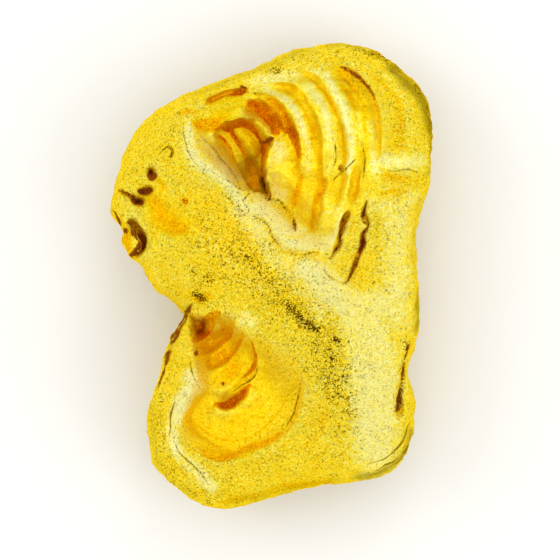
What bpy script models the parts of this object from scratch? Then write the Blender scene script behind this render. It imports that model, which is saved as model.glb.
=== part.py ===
"""Gold nugget: one lump of native gold, lying on its back with its two hollows facing up.

It is built as two skins that meet along the nugget's widest outline. The front skin is a thick
rounded slab, worked over with a few sculpting tools: swells, ridges, ledges, pits and hollows. The
back skin is a rounded bottom with dents and one flat worn patch that the nugget rests on.
X runs across the nugget, Y along it and Z up. Sizes are millimetres until the mesh is made.
"""

import bpy
import numpy as np

# Driving dimensions.
LENGTH = 0.042  # metres along Y, the finished nugget's longest side
RIM_HEIGHT = 6.9  # height of the widest outline
RIM_SWING = 0.8  # how far that outline climbs and dips as it goes round
RIM_SWING_TURN = 0.8  # radians by which the climb starts late
FRONT_RISE = 6.3  # front face above the outline
BACK_DROP = 7.7  # back below the outline, before the worn patch is flattened
FRONT_FULLNESS = (2.6, 2.2)  # powers of the front's rounding: larger is squarer
BACK_FULLNESS = (2.0, 2.0)  # the same for the back
WORN_SOFTNESS = 0.4  # how gradually the back rounds into the worn patch
LEVELLED_BELOW = 0.02  # points lower than this are put exactly on the table
LEDGE_ENDS = 0.15  # share of a ledge's length over which it tapers away at each end
RIM_BAND = 0.07  # share of the way in from the outline where the tools fade out
SKIN_CELLS = 150  # cells along each side of a skin's square grid
CROWDING = 0.25  # how much closer together the grid's rows are at the outline
TRIANGLES = 9200  # faces of the finished solid
CRISP_ANGLE = np.radians(50)  # edges sharper than this stay crisp
GOLD = (0.94, 0.61, 0.06, 1.0)
GOLD_ROUGHNESS = 0.38

# The widest outline, clockwise from the top, seen from the middle that its reach is measured from.
MIDDLE = (1.7, -0.8)
OUTLINE = [
    (6, 21.1), (9.2, 20.5), (11.8, 18.8), (13.2, 16.8), (14.1, 14.8), (14.6, 12.5), (14.4, 9.2),
    (13.6, 6.4), (13.1, 3.4), (13.2, 1.3), (13.5, -1.1), (13.2, -3.8), (13, -6.2), (12.4, -8.5),
    (12.6, -9.7), (13.1, -11.6), (12.7, -14.6), (11.8, -16.6), (10.3, -17.9), (7.1, -18.7),
    (4.2, -18.9), (0.3, -19.9), (-3.3, -20.9), (-5.7, -20.8), (-8.1, -19.7), (-10.1, -17.6),
    (-11, -15.2), (-11.4, -11.9), (-10.6, -9.5), (-9.2, -6.3), (-8.4, -4.6), (-8, -3.5), (-9, -2.2),
    (-10.8, -0.5), (-11.7, 1), (-12.6, 1.8), (-13.5, 3), (-13.5, 4.2), (-14.6, 5.8), (-14.4, 7.3),
    (-14, 9.7), (-13, 12.2), (-11, 14.8), (-8.3, 16.5), (-5.4, 17.7), (-2.6, 18.6), (0.8, 20.1),
    (3, 20.7),
]
OUTLINE_STEPS = 256  # directions in which the reach is read to find the outline's waves
BROAD_WAVES = 7  # how many of those waves the softened outline keeps
SOFTENING = 8  # power that hands over from the softened outline to the true one

# Broad swells of the front: middle, half-widths, rise and turn in degrees.
SWELLS = (
    ((-9.6, 5.9), (5.0, 6.2), 1.7, 0),  # the round lobe on the left
    ((-8.2, 0.1), (3.6, 2.6), 0.9, -30),  # its lip over the lower hollow
    ((9.9, -10.3), (3.0, 7.0), 0.9, 5),  # the full right side
    ((11.6, -4), (2.0, 6.0), 0.5, 0),
    ((6.2, 3.7), (4.5, 3.0), 0.5, 0),
    ((-3.2, 1.6), (4.0, 3.0), -0.3, -30),  # a shallow sag between lobe and saddle
    ((-9.7, 5.8), (2.0, 2.0), -0.8, 0),  # a basin beside the pits of the lobe
    ((3.1, 4), (1.8, 1.4), 0.6, 0),
)
# Long ridges of the front: line, half-width and rise.
RIDGES = (
    (
        [(-7.3, 14.8), (-7.5, 12.7), (-6.8, 10.4), (-4.6, 8.6), (-2.3, 6.6), (0.3, 4), (3.5, 0.5),
         (6.6, -3.1)],
        1.8, 1.3,
    ),
    ([(1.2, -0.8), (3.5, -4.9), (6.2, -9.4), (7.1, -13.9)], 4.0, 1.0),
    ([(-9, -16.1), (-8.4, -13.4), (-8, -11.2), (-7.3, -8.9)], 1.1, 1.1),
)

# Hollows: the line round each, the lowest point of its floor, that point's height, then how steeply
# the floor climbs and how wide the wall is, both to the left, right, down and up.
HOLLOWS = (
    (  # the fan: a broad hollow that climbs to the top and to the right
        [(-6.4, 15.5), (-3.9, 17), (-0.3, 18.3), (2.7, 19.5), (5.7, 20.1), (8.4, 19), (10.7, 17),
         (11.9, 14), (12.1, 10.9), (11.2, 7.3), (9.2, 4), (6.5, 1.8), (3.8, 1.8), (1.8, 3.2),
         (0.4, 5.4), (-1.2, 6.9), (-3, 7.7), (-4.6, 9.2), (-6.2, 11), (-7.2, 13.3)],
        (-0.7, 9), 8.7, (0.35, 0.36, 0.5, 0.42), (1.9, 3.6, 3.6, 1.7),
    ),
    (  # the deep pocket at its left
        [(-5.4, 13.1), (-4.1, 13.9), (-2.5, 14.3), (-1.2, 13.8), (-0.3, 12.4), (-0.5, 10.4),
         (-0.2, 7.4), (-1.2, 7.4), (-2.3, 7.8), (-3.2, 9.3), (-4.4, 11.1)],
        (-1.8, 9), 7.3, (0.2, 0.2, 0.4, 0.42), (0.6, 0.5, 0.5, 0.6),
    ),
    (  # the lower bowl, wide open to the right
        [(-8.1, -11.2), (-7.2, -9.4), (-5.9, -7.2), (-4.5, -5.2), (-2.4, -4.5), (-0.1, -5.4),
         (2.4, -7), (4.2, -9.2), (4.5, -11.9), (3.3, -14.3), (1.1, -15.9), (-1.8, -16.9),
         (-4.6, -17.3), (-6.6, -16.4), (-7.8, -14.9), (-8.4, -13)],
        (-4.1, -11.7), 9.6, (0.3, 0.24, 0.27, 0.24), (1.4, 4.6, 2.0, 3.2),
    ),
    (  # the channel above it, deepest under the lobe's lip
        [(-7.7, -3.2), (-6.6, -3.4), (-5.4, -3.5), (-4.2, -3.1), (-2.8, -4), (-1.8, -5.6),
         (-1.2, -7.7), (-1.6, -9.9), (-2.8, -11.3), (-4.6, -11.9), (-6.1, -11.1), (-6.8, -9.4),
         (-7.2, -7.4), (-7.5, -5.3)],
        (-6.1, -4.8), 8.5, (0.4, 0.5, 0.3, 0.4), (0.6, 2.6, 1.8, 0.7),
    ),
)
# Ledges: the line of the edge, with the high side on its left, the drop, how far the riser curves,
# the half-width of the tread, and which edge is sharp: the crest above, the foot below, or neither.
FAN_LEDGES = (
    ([(-5.4, 13.2), (-4.4, 12.1), (-3.4, 10.5), (-2.7, 9.2)], 0.7, 0.25, 0.8, "crest"),
    (
        [(-4.5, 14), (-3.6, 13.7), (-2.7, 12.6), (-1.8, 11.2), (-1.1, 9.9), (-0.9, 8.5)],
        1.0, 0.4, 0.9, "crest",
    ),
    (
        [(-5.4, 13.6), (-3.9, 14.1), (-2.3, 14.3), (-1.2, 13.7), (-0.4, 12.6), (-0.2, 11.7),
         (-0.5, 10.3), (-0.6, 8.8), (-0.2, 7.6)],
        1.4, 0.35, 1.2, "crest",
    ),
    (
        [(-3, 15.9), (-1.4, 16), (-0.3, 15.6), (0.5, 14.7), (1, 13.7), (1.2, 12.7)],
        1.3, 0.5, 1.1, "crest",
    ),
    (
        [(-2.7, 16.6), (-1, 16.6), (0.5, 16), (1.6, 14.7), (2.3, 12.7), (2.6, 10.6), (2.3, 8.6)],
        1.5, 0.45, 1.4, "crest",
    ),
    (
        [(-1.4, 17.2), (0.4, 17.6), (2, 17.3), (3.3, 16), (4.2, 13.9), (4.5, 11.2), (4.5, 8.3),
         (3.9, 5.6)],
        1.2, 0.4, 1.6, "crest",
    ),
    (
        [(1.5, 18.8), (3.1, 18.4), (4.5, 17.2), (5.5, 15.6), (6.2, 13.5), (6.3, 11.3), (6, 8.3),
         (5.3, 5.6)],
        1.1, 0.35, 1.7, "foot",
    ),
    (
        [(4.9, 19.3), (6.7, 18.2), (7.8, 16.6), (8.3, 14.6), (8.3, 12.2), (8, 9)],
        0.7, 0.5, 1.6, "soft",
    ),
    (
        [(5.3, 19.3), (7.2, 18.7), (8.6, 17.4), (9.5, 15.6), (9.9, 13.1), (9.6, 9.9)],
        1.2, 0.22, 1.5, "crest",
    ),
    ([(8.5, 18.9), (10.1, 17.6), (11.4, 15.5), (11.7, 13), (11.3, 10.4)], 0.5, 0.5, 1.8, "soft"),
    ([(9.4, 7.6), (10.8, 8), (12.3, 7.8)], 0.4, 0.25, 1.0, "crest"),
    ([(9.8, 9.4), (10.8, 9), (12.5, 8.9)], 0.5, 0.25, 1.0, "foot"),
)
FOLD_LEDGES = (
    (
        [(-2.3, 7.8), (-0.9, 7.5), (-0.2, 7), (0.6, 7), (1.1, 6.5), (1.6, 5.8), (2.1, 4)],
        0.9, 0.3, 0.9, "foot",
    ),
    (
        [(-2.5, 6), (-1.8, 5.4), (-0.9, 5), (-0.3, 4.2), (0.1, 3.3), (0.9, 2.3), (1.7, 2),
         (2.9, 2.1), (4.2, 2.2), (4.9, 1.7)],
        0.8, 0.3, 1.0, "foot",
    ),
    ([(-7, 4.9), (-7.4, 4), (-8.3, 3.5), (-9.4, 3.6), (-10.3, 4.1)], 0.6, 0.5, 1.5, "crest"),
)
LOWER_LEDGES = (
    ([(-4.5, -3.3), (-5.2, -4.1), (-5.9, -4.9), (-6.7, -5.5)], 1.0, 0.5, 0.9, "crest"),
    (
        [(-3.4, -3.6), (-3.6, -4.9), (-4.2, -5.8), (-5, -6.6), (-5.9, -7), (-6.9, -6.9)],
        1.5, 0.6, 1.2, "crest",
    ),
    ([(-2.5, -4.7), (-3, -6.2), (-4, -7.6), (-5.2, -8.4), (-6.2, -8.7)], 1.0, 0.45, 1.1, "crest"),
    ([(-2.3, -7.7), (-3.1, -9.1), (-4.1, -9.9), (-5.3, -10.3)], 0.6, 0.3, 0.8, "crest"),
    ([(-2.1, -6), (-1.8, -7.4), (-1.4, -8.5), (-2.2, -9.6), (-3.2, -10.3)], 0.7, 0.2, 0.7, "crest"),
    (
        [(-1.8, -9.7), (-2.4, -11), (-3.5, -11.9), (-4.5, -12.1), (-5.5, -11.4)],
        1.4, 0.5, 1.0, "crest",
    ),
    (
        [(0.8, -14.4), (-0.7, -15.3), (-2.3, -15.8), (-3.6, -16.3), (-4.8, -16.6), (-6.1, -16.1),
         (-7, -15.1)],
        1.2, 0.5, 1.3, "crest",
    ),
    (
        [(2.6, -8.6), (2.8, -10.8), (2.1, -12.9), (0.7, -14.5), (-1.2, -15.4)],
        0.6, 0.35, 1.5, "crest",
    ),
    ([(-3.9, -15.3), (-5.5, -14.8), (-6.8, -13.5), (-7.6, -12.2)], 0.5, 0.4, 0.8, "foot"),
    ([(5.1, -11.3), (4.8, -13.4), (3.5, -15.7)], 0.35, 0.25, 1.4, "crest"),
)

# Grooves and crevices: line, half-width and depth.
GROOVES = (
    (
        [(6.8, 5.7), (6.5, 5.2), (6.3, 4.7), (6.3, 4.1), (6, 3.5), (6.1, 3), (5.5, 2.2),
         (5.3, 1.8)],
        0.16, 1.2,
    ),
    (
        [(8.5, 6.7), (8.3, 6.1), (8.2, 5.7), (8.6, 5), (8.6, 4.5), (8.1, 3.8), (8.2, 3.1),
         (7.9, 2.4)],
        0.16, 1.1,
    ),
    ([(7.9, 2.4), (7.5, 1.4), (7.1, 0.4), (6.6, -0.5), (5.7, -0.4), (4.7, 0.3)], 0.12, 0.4),
    ([(-5.8, 15.9), (-5, 16.3), (-4.1, 16.6), (-3.2, 16.7), (-2.5, 16.9)], 0.28, 0.9),
    ([(-8.3, 14.6), (-7.7, 15), (-6.8, 14.8)], 0.3, 0.6),
    ([(-6.7, 13.7), (-5.9, 13.6), (-5.2, 13.8)], 0.5, 0.8),
    ([(-2.1, 15.2), (-1.1, 14.8), (-0.4, 14.1), (0.1, 13.2)], 0.5, 0.9),
    ([(-0.9, 9), (-0.6, 8.1), (-0.4, 7.4)], 0.25, 1.2),
    ([(4.7, 8.6), (4.3, 7.7), (4.1, 6.7), (3.9, 5.5), (3.6, 4.2)], 0.3, 0.7),
    ([(7.6, 9.7), (7.4, 8.5), (7.1, 7)], 0.3, 0.5),
    (
        [(12.4, -5.6), (12.1, -6.7), (11.7, -7.7), (11.6, -9.2), (11.4, -10.4), (11.6, -12.4)],
        0.28, 0.7,
    ),
    ([(-13.7, 7.7), (-12.9, 7.3), (-11.9, 6.8)], 0.25, 0.9),
    ([(-10.5, 8.8), (-9.9, 8.3), (-9.8, 7.6)], 0.35, 0.4),
    ([(-12.8, 5), (-12.2, 4.4), (-11.7, 3.7), (-11.5, 3.1), (-11.8, 2.3), (-12.6, 1.8)], 0.24, 2.2),
    ([(-14.3, 6), (-13.8, 5), (-13.3, 4)], 0.2, 0.6),
)
PIT_STEEPNESS = 4  # a pit has a flatter floor and steeper sides than a swell
# Pits: middle, half-widths, depth and turn in degrees.
PITS = (
    ((-10.9, 9.4), (0.42, 0.48), 1.2, 20),
    ((-11.4, 7.7), (0.68, 0.38), 1.2, 8),
    ((-12, 6.8), (0.52, 0.48), 1.2, 0),
    ((-0.3, 12.2), (0.3, 0.4), 0.9, 0),
)
# The back: swells and dents, and the low waves that keep every side from being perfectly smooth.
BACK_SWELLS = (
    ((-6.4, 11.3), (5.5, 5.0), 0.9, 30),
    ((7.1, -13), (4.5, 6.0), 0.7, -20),
    ((-4.2, -11.2), (3.0, 4.0), 0.8, 10),
    ((5.3, 6.8), (3.2, 5.0), -1.0, 15),
    ((-8.2, 3.7), (2.4, 3.0), -0.8, -35),
    ((1.7, -16.1), (3.4, 1.8), -0.7, 5),
)
BACK_GROOVES = (
    ([(9.8, 14), (8, 10.4), (7.8, 6.4), (6, 2.8)], 0.7, 0.8),
    ([(-5.1, 14.9), (-2.8, 13.3), (-0.3, 13)], 0.5, 0.6),
    ([(-7.3, -4.9), (-5.1, -6.2), (-3.2, -9), (-2.8, -12.1)], 0.6, 0.8),
)
BACK_PITS = (
    ((10.2, 2.3), (0.9, 0.7), 0.9, 30),
    ((-1.9, -17), (0.6, 0.8), 0.7, 0),
    ((-10, 9.1), (0.8, 0.5), 0.8, -20),
)
WAVES = ((7.0, 0.12), (2.6, 0.04))  # length and height of the low waves over the whole nugget
WAVES_PER_SIZE = 14


def smooth_line(points, closed=False, per_span=6):
    """A smooth curve through the points (Catmull-Rom), as closer points."""
    p = np.array(points, float)
    if closed:
        p = np.vstack([p[-1:], p, p[:2]])
    else:
        p = np.vstack([2 * p[0] - p[1], p, 2 * p[-1] - p[-2]])
    t = np.arange(per_span)[:, None] / per_span
    spans = [
        0.5 * (2 * b + (c - a) * t + (2 * a - 5 * b + 4 * c - d) * t**2 + (3 * b - a - 3 * c + d) * t**3)
        for a, b, c, d in zip(p, p[1:], p[2:], p[3:])
    ]
    if not closed:
        spans.append(p[-2:-1])
    return np.vstack(spans)


def evenly(line, spacing):
    """Points along the line at equal distances, and that distance."""
    run = np.concatenate([[0], np.cumsum(np.hypot(*np.diff(line, axis=0).T))])
    count = max(2, int(np.ceil(run[-1] / spacing)) + 1)
    at = np.linspace(0, run[-1], count)
    return np.stack([np.interp(at, run, line[:, i]) for i in (0, 1)], 1), run[-1] / (count - 1)


def ease(t):
    """0 to 1 with level ends, held outside."""
    t = np.clip(t, 0, 1)
    return t * t * (3 - 2 * t)


def stretched(dx, dy, sizes):
    """Length of each step, after stretching it by the sizes for left, right, down and up."""
    left, right, down, up = sizes
    return np.hypot(np.where(dx < 0, left, right) * dx, np.where(dy < 0, down, up) * dy)


def polar(x, y):
    """Angle about the middle, and distance from it."""
    dx, dy = x - MIDDLE[0], y - MIDDLE[1]
    return np.arctan2(dy, dx), np.hypot(dx, dy)


def read_outline():
    """The outline as angles and reaches in order of angle, and its lowest waves."""
    angle, reach = polar(*smooth_line(OUTLINE, closed=True).T)
    order = np.argsort(angle)
    angle, reach = angle[order], reach[order]
    turn = np.arange(OUTLINE_STEPS) / OUTLINE_STEPS * 2 * np.pi
    waves = np.fft.rfft(np.interp(turn, angle, reach, period=2 * np.pi)) / len(turn)
    return angle, reach, waves[:BROAD_WAVES]


OUTLINE_ANGLE, OUTLINE_REACH, OUTLINE_WAVES = read_outline()


def true_reach(angle):
    return np.interp(angle, OUTLINE_ANGLE, OUTLINE_REACH, period=2 * np.pi)


def blended_reach(angle, share):
    """The reach at a share of the way out: softened near the middle, and the true one at the edge."""
    soft = OUTLINE_WAVES[0].real + 0 * angle
    for n, wave in enumerate(OUTLINE_WAVES[1:], 1):
        soft = soft + 2 * (wave.real * np.cos(n * angle) - wave.imag * np.sin(n * angle))
    return soft + (true_reach(angle) - soft) * share**SOFTENING


def waves_at(x, y, z, length, seed):
    """Smooth uneven swelling of about that wavelength, mostly between -1 and 1."""
    rng = np.random.default_rng(seed)
    total = np.zeros(len(x))
    for _ in range(WAVES_PER_SIZE):
        way = rng.normal(size=3)
        way *= 2 * np.pi / length * rng.uniform(0.6, 1.6) / np.linalg.norm(way)
        total += np.sin(way[0] * x + way[1] * y + way[2] * z + rng.uniform(0, 2 * np.pi))
    return total / np.sqrt(WAVES_PER_SIZE / 2)


class Skin:
    """One side of the nugget: points x and y, and the height z that the tools work on."""

    def __init__(self, x, y, rise, fullness):
        angle, distance = polar(x, y)
        share = np.clip(distance / true_reach(angle), 0, 1)
        soft_share = np.clip(distance / blended_reach(angle, share), 0, 1)
        inner, outer = fullness
        rim = RIM_HEIGHT + RIM_SWING * np.cos(2 * angle - RIM_SWING_TURN) * share**2
        self.x, self.y = x, y
        self.z = rim + rise * (1 - soft_share**inner) ** (1 / outer)
        self.fade = ease((1 - share) / RIM_BAND)

    def lift(self, amount, near=slice(None)):
        self.z[near] += amount * self.fade[near]

    def around(self, line, margin):
        """Numbers of the points within a margin of the line's own box."""
        low, high = line.min(0) - margin, line.max(0) + margin
        return np.flatnonzero(
            (self.x > low[0]) & (self.x < high[0]) & (self.y > low[1]) & (self.y < high[1])
        )

    def beside(self, line, near):
        """For the points near: distance to the line, the side they are on, and how far along."""
        x, y = self.x[near], self.y[near]
        run = np.concatenate([[0], np.cumsum(np.hypot(*np.diff(line, axis=0).T))])
        best = np.full(len(near), np.inf)
        side, along = np.zeros(len(near)), np.zeros(len(near))
        for (ax, ay), (bx, by), start in zip(line, line[1:], run):
            vx, vy = bx - ax, by - ay
            length = np.hypot(vx, vy)
            t = np.clip(((x - ax) * vx + (y - ay) * vy) / length**2, 0, 1)
            distance = np.hypot(x - ax - t * vx, y - ay - t * vy)
            closer = distance < best
            best = np.where(closer, distance, best)
            side = np.where(closer, np.sign(vx * (y - ay) - vy * (x - ax)), side)
            along = np.where(closer, (start + t * length) / run[-1], along)
        return best, side, along

    def swell(self, middle, half_widths, rise, turn=0, steepness=2):
        """A rounded mound, or a dent where rise is negative; a steeper one has a flatter top."""
        c, s = np.cos(np.radians(turn)), np.sin(np.radians(turn))
        dx, dy = self.x - middle[0], self.y - middle[1]
        u, v = (dx * c + dy * s) / half_widths[0], (dy * c - dx * s) / half_widths[1]
        self.lift(rise * np.exp(-np.hypot(u, v) ** steepness))

    def ridge(self, points, width, rise):
        """A rounded ridge along a line, or a groove where rise is negative, fading at its ends."""
        beads, spacing = evenly(smooth_line(points), width / 2)
        near = self.around(beads, 3 * width)
        total = np.zeros(len(near))
        for bx, by in beads:
            total += np.exp(-((self.x[near] - bx) ** 2 + (self.y[near] - by) ** 2) / width**2)
        self.lift(rise * total * spacing / (width * np.sqrt(np.pi)), near)

    def ledge(self, points, drop, riser, tread, sharp):
        """A step down across a line, from its left to its right, that levels out over the treads."""
        line = smooth_line(points)
        near = self.around(line, 3 * tread)
        distance, side, along = self.beside(line, near)
        taper = ease(along / LEDGE_ENDS) * ease((1 - along) / LEDGE_ENDS)
        curve = 1 - 2 * np.exp(-distance / riser)
        if sharp == "crest":
            step = np.where(side > 0, 1, -curve)
        elif sharp == "foot":
            step = np.where(side > 0, curve, -1)
        else:
            step = side * np.tanh(distance / riser)
        self.lift(drop / 2 * taper * step * np.exp(-((distance / tread) ** 1.5)), near)

    def hollow(self, points, lowest, height, climbs, walls):
        """Sinks what is inside a closed line down to a dished floor, over the width of a wall."""
        line = smooth_line(points, closed=True)
        line = np.vstack([line, line[:1]])
        near = self.around(line, 0)
        distance, _, _ = self.beside(line, near)
        x, y = self.x[near], self.y[near]
        inside = np.zeros(len(near), bool)
        for (ax, ay), (bx, by) in zip(line, line[1:]):
            if ay != by:
                inside ^= ((ay > y) != (by > y)) & (x < ax + (y - ay) / (by - ay) * (bx - ax))
        dx, dy = x - lowest[0], y - lowest[1]
        floor = height + stretched(dx, dy, climbs)
        wall = stretched(dx, dy, walls) / np.hypot(dx, dy)
        sink = np.minimum(floor - self.z[near], 0) * ease(distance / wall)
        self.lift(np.where(inside, sink, 0), near)


def front_height(x, y):
    skin = Skin(x, y, FRONT_RISE, FRONT_FULLNESS)
    for swell in SWELLS:
        skin.swell(*swell)
    for ridge in RIDGES:
        skin.ridge(*ridge)
    for hollow in HOLLOWS:
        skin.hollow(*hollow)
    for ledge in FAN_LEDGES + FOLD_LEDGES + LOWER_LEDGES:
        skin.ledge(*ledge)
    for line, width, depth in GROOVES:
        skin.ridge(line, width, -depth)
    for middle, half_widths, depth, turn in PITS:
        skin.swell(middle, half_widths, -depth, turn, PIT_STEEPNESS)
    return skin.z


def back_height(x, y):
    skin = Skin(x, y, -BACK_DROP, BACK_FULLNESS)
    for middle, half_widths, rise, turn in BACK_SWELLS:
        skin.swell(middle, half_widths, -rise, turn)
    for line, width, depth in BACK_GROOVES:
        skin.ridge(line, width, depth)
    for middle, half_widths, depth, turn in BACK_PITS:
        skin.swell(middle, half_widths, depth, turn, PIT_STEEPNESS)
    return skin.z


def skin_grid(cells):
    """A square grid of points drawn out to fill the outline, closest together at its edge."""
    u, v = np.meshgrid(np.linspace(-1, 1, cells + 1), np.linspace(-1, 1, cells + 1))
    u, v = (u * np.sqrt(1 - v**2 / 2)).ravel(), (v * np.sqrt(1 - u**2 / 2)).ravel()
    angle, out = np.arctan2(v, u), np.minimum(np.hypot(u, v), 1)
    share = out * (1 + CROWDING - CROWDING * out**4)
    reach = share * blended_reach(angle, share)
    return MIDDLE[0] + reach * np.cos(angle), MIDDLE[1] + reach * np.sin(angle)


def nugget_mesh():
    """The closed mesh: both skins on the same grid, sharing the points of the outline."""
    x, y = skin_grid(SKIN_CELLS)
    front = np.stack([x, y, front_height(x, y)], 1)
    back = np.stack([x, y, back_height(x, y)], 1)
    row = SKIN_CELLS + 1
    number = np.arange(row * row).reshape(row, row)
    inner = np.zeros((row, row), bool)
    inner[1:-1, 1:-1] = True
    under = number.copy()
    under[inner] = row * row + np.arange(inner.sum())

    def quads(n, order):
        corners = n[:-1, :-1], n[:-1, 1:], n[1:, 1:], n[1:, :-1]
        return np.stack([corners[i].ravel() for i in order], 1)

    points = np.vstack([front, back[inner.ravel()]])
    faces = np.vstack([quads(number, (0, 1, 2, 3)), quads(under, (3, 2, 1, 0))])
    mesh = bpy.data.meshes.new("dense_nugget")
    mesh.from_pydata(points.tolist(), [], faces.tolist())
    return mesh


def positions(mesh, what="co"):
    """The mesh's points, or with "normal" their normals, one row each."""
    flat = np.empty(len(mesh.vertices) * 3)
    mesh.vertices.foreach_get(what, flat)
    return flat.reshape(-1, 3)


def roughen(mesh):
    """The mesh's points with the low waves added along their normals."""
    points, normals = positions(mesh), positions(mesh, "normal")
    for seed, (length, height) in enumerate(WAVES):
        points = points + normals * (height * waves_at(*points.T, length, seed))[:, None]
    return points


def flatten_worn_patch(z):
    """Levels off what lies below the table, and rounds off what is only just above it."""
    rounded = (z + WORN_SOFTNESS) ** 2 / (4 * WORN_SOFTNESS)
    return np.where(z < -WORN_SOFTNESS, 0, np.where(z < WORN_SOFTNESS, rounded, z))


def thinned(mesh):
    """A copy of the mesh with far fewer faces, most of them kept where the shape bends."""
    rough = bpy.data.objects.new("rough_nugget", mesh)
    bpy.context.scene.collection.objects.link(rough)
    collapse = rough.modifiers.new("Decimate", "DECIMATE")
    collapse.ratio = TRIANGLES / (4 * SKIN_CELLS**2)
    collapse.use_collapse_triangulate = True
    graph = bpy.context.evaluated_depsgraph_get()
    finished = bpy.data.meshes.new_from_object(rough.evaluated_get(graph))
    bpy.data.objects.remove(rough)
    return finished


def fit_to_size(points):
    """Levels the worn patch exactly, centres the nugget over the origin and gives it its length."""
    points[:, 2] = np.where(points[:, 2] < LEVELLED_BELOW, 0, points[:, 2])
    low, high = points.min(0), points.max(0)
    middle = (low + high) / 2
    return (points - [middle[0], middle[1], 0]) * LENGTH / (high[1] - low[1])


def build_nugget():
    mesh = nugget_mesh()
    points = roughen(mesh)
    points[:, 2] = flatten_worn_patch(points[:, 2])
    mesh.vertices.foreach_set("co", points.ravel())
    finished = thinned(mesh)
    finished.name = "gold_nugget"
    finished.vertices.foreach_set("co", fit_to_size(positions(finished)).ravel())
    finished.materials.append(gold_material())
    finished.shade_smooth()
    finished.set_sharp_from_angle(angle=CRISP_ANGLE)
    nugget = bpy.data.objects.new("gold_nugget", finished)
    bpy.context.scene.collection.objects.link(nugget)


def gold_material():
    gold = bpy.data.materials.new("native_gold")
    gold.use_nodes = True
    shader = gold.node_tree.nodes["Principled BSDF"]
    shader.inputs["Base Color"].default_value = GOLD
    shader.inputs["Metallic"].default_value = 1.0
    shader.inputs["Roughness"].default_value = GOLD_ROUGHNESS
    return gold


for leftover in list(bpy.data.objects):
    bpy.data.objects.remove(leftover)
build_nugget()
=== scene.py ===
# %% [markdown]
# # A gold nugget
# This lesson dresses one lump of native gold. A nugget isn't put together from parts: it grew, and
# was then rolled about in a stream, as one piece. So here it is one closed mesh with one finish, and
# the shape does most of the work. It is a thick rounded slab with two hollows in its face, and each
# hollow has curved ledges like the rows of a small theatre. We start by loading the plain solid that
# the finished surface has to agree with, and keep its box, to which the nugget is fitted later.

# %% Load the frame
import bpy
import numpy as np
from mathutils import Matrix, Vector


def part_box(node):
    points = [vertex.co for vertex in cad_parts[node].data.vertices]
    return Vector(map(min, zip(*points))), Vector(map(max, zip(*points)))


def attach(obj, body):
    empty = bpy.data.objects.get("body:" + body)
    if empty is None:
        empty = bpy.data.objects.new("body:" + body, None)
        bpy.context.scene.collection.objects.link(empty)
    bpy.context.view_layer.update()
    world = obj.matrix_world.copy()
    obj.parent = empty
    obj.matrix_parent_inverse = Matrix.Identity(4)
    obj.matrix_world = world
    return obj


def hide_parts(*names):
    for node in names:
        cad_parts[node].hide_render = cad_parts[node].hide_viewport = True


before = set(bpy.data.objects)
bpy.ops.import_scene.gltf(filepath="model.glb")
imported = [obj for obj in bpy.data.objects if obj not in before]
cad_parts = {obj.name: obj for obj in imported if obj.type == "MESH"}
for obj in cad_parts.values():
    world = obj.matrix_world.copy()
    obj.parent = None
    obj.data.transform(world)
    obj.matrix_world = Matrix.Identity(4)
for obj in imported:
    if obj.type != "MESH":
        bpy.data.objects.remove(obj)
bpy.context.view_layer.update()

MM = 0.001
solid_low, solid_high = (np.array(corner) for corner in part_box("gold_nugget"))
print("the solid is", ((solid_high - solid_low) / MM).round(1), "mm")

# %% [markdown]
# ## The outline
# Seen from above, the widest line round the nugget is a lumpy oval. It has a waist on the left, where
# the round lobe meets the lower half, and a small hooked flap beside the lobe. It could be a drawn
# curve object. Every later step asks how far a point is from the edge, though, so we keep a few
# points, join them with a smooth curve, and read that as a reach in every direction from one
# middle. Sizes are millimetres until the finished mesh is given the plain solid's size.

# %% A smooth curve through the outline's points
MIDDLE = (1.7, -0.8)
POINTS_PER_SPAN = 6
OUTLINE = [
    (6, 21.1), (9.2, 20.5), (11.8, 18.8), (13.2, 16.8), (14.1, 14.8), (14.6, 12.5), (14.4, 9.2),
    (13.6, 6.4), (13.1, 3.4), (13.2, 1.3), (13.5, -1.1), (13.2, -3.8), (13, -6.2), (12.4, -8.5),
    (12.6, -9.7), (13.1, -11.6), (12.7, -14.6), (11.8, -16.6), (10.3, -17.9), (7.1, -18.7),
    (4.2, -18.9), (0.3, -19.9), (-3.3, -20.9), (-5.7, -20.8), (-8.1, -19.7), (-10.1, -17.6),
    (-11, -15.2), (-11.4, -11.9), (-10.6, -9.5), (-9.2, -6.3), (-8.4, -4.6), (-8, -3.5), (-9, -2.2),
    (-10.8, -0.5), (-11.7, 1), (-12.6, 1.8), (-13.5, 3), (-13.5, 4.2), (-14.6, 5.8), (-14.4, 7.3),
    (-14, 9.7), (-13, 12.2), (-11, 14.8), (-8.3, 16.5), (-5.4, 17.7), (-2.6, 18.6), (0.8, 20.1),
    (3, 20.7),
]


def smooth_line(points, closed=False):
    """A smooth curve through the points (Catmull-Rom), as closer points."""
    p = np.array(points, float)
    if closed:
        p = np.vstack([p[-1:], p, p[:2]])
    else:
        p = np.vstack([2 * p[0] - p[1], p, 2 * p[-1] - p[-2]])
    t = np.arange(POINTS_PER_SPAN)[:, None] / POINTS_PER_SPAN
    spans = [
        0.5 * (2 * b + (c - a) * t + (2 * a - 5 * b + 4 * c - d) * t**2 + (3 * b - a - 3 * c + d) * t**3)
        for a, b, c, d in zip(p, p[1:], p[2:], p[3:])
    ]
    if not closed:
        spans.append(p[-2:-1])
    return np.vstack(spans)


edge = smooth_line(OUTLINE, closed=True)
print("outline:", len(edge), "points,", np.ptp(edge, axis=0).round(1), "mm")

# %% [markdown]
# ## Reach in every direction
# Near the edge the skin has to follow every bump of the outline, but those bumps shouldn't run into
# the middle as creases. So there are two reaches: the true one, and a softened one that keeps only
# the outline's broadest waves, found with a Fourier transform. On its way out a point is handed over
# from the softened reach to the true one, and only in the last quarter of the way.

# %% The true reach and the softened one
BROAD_WAVES = 7
SOFTENING = 8
TURN_STEPS = 256


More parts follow.
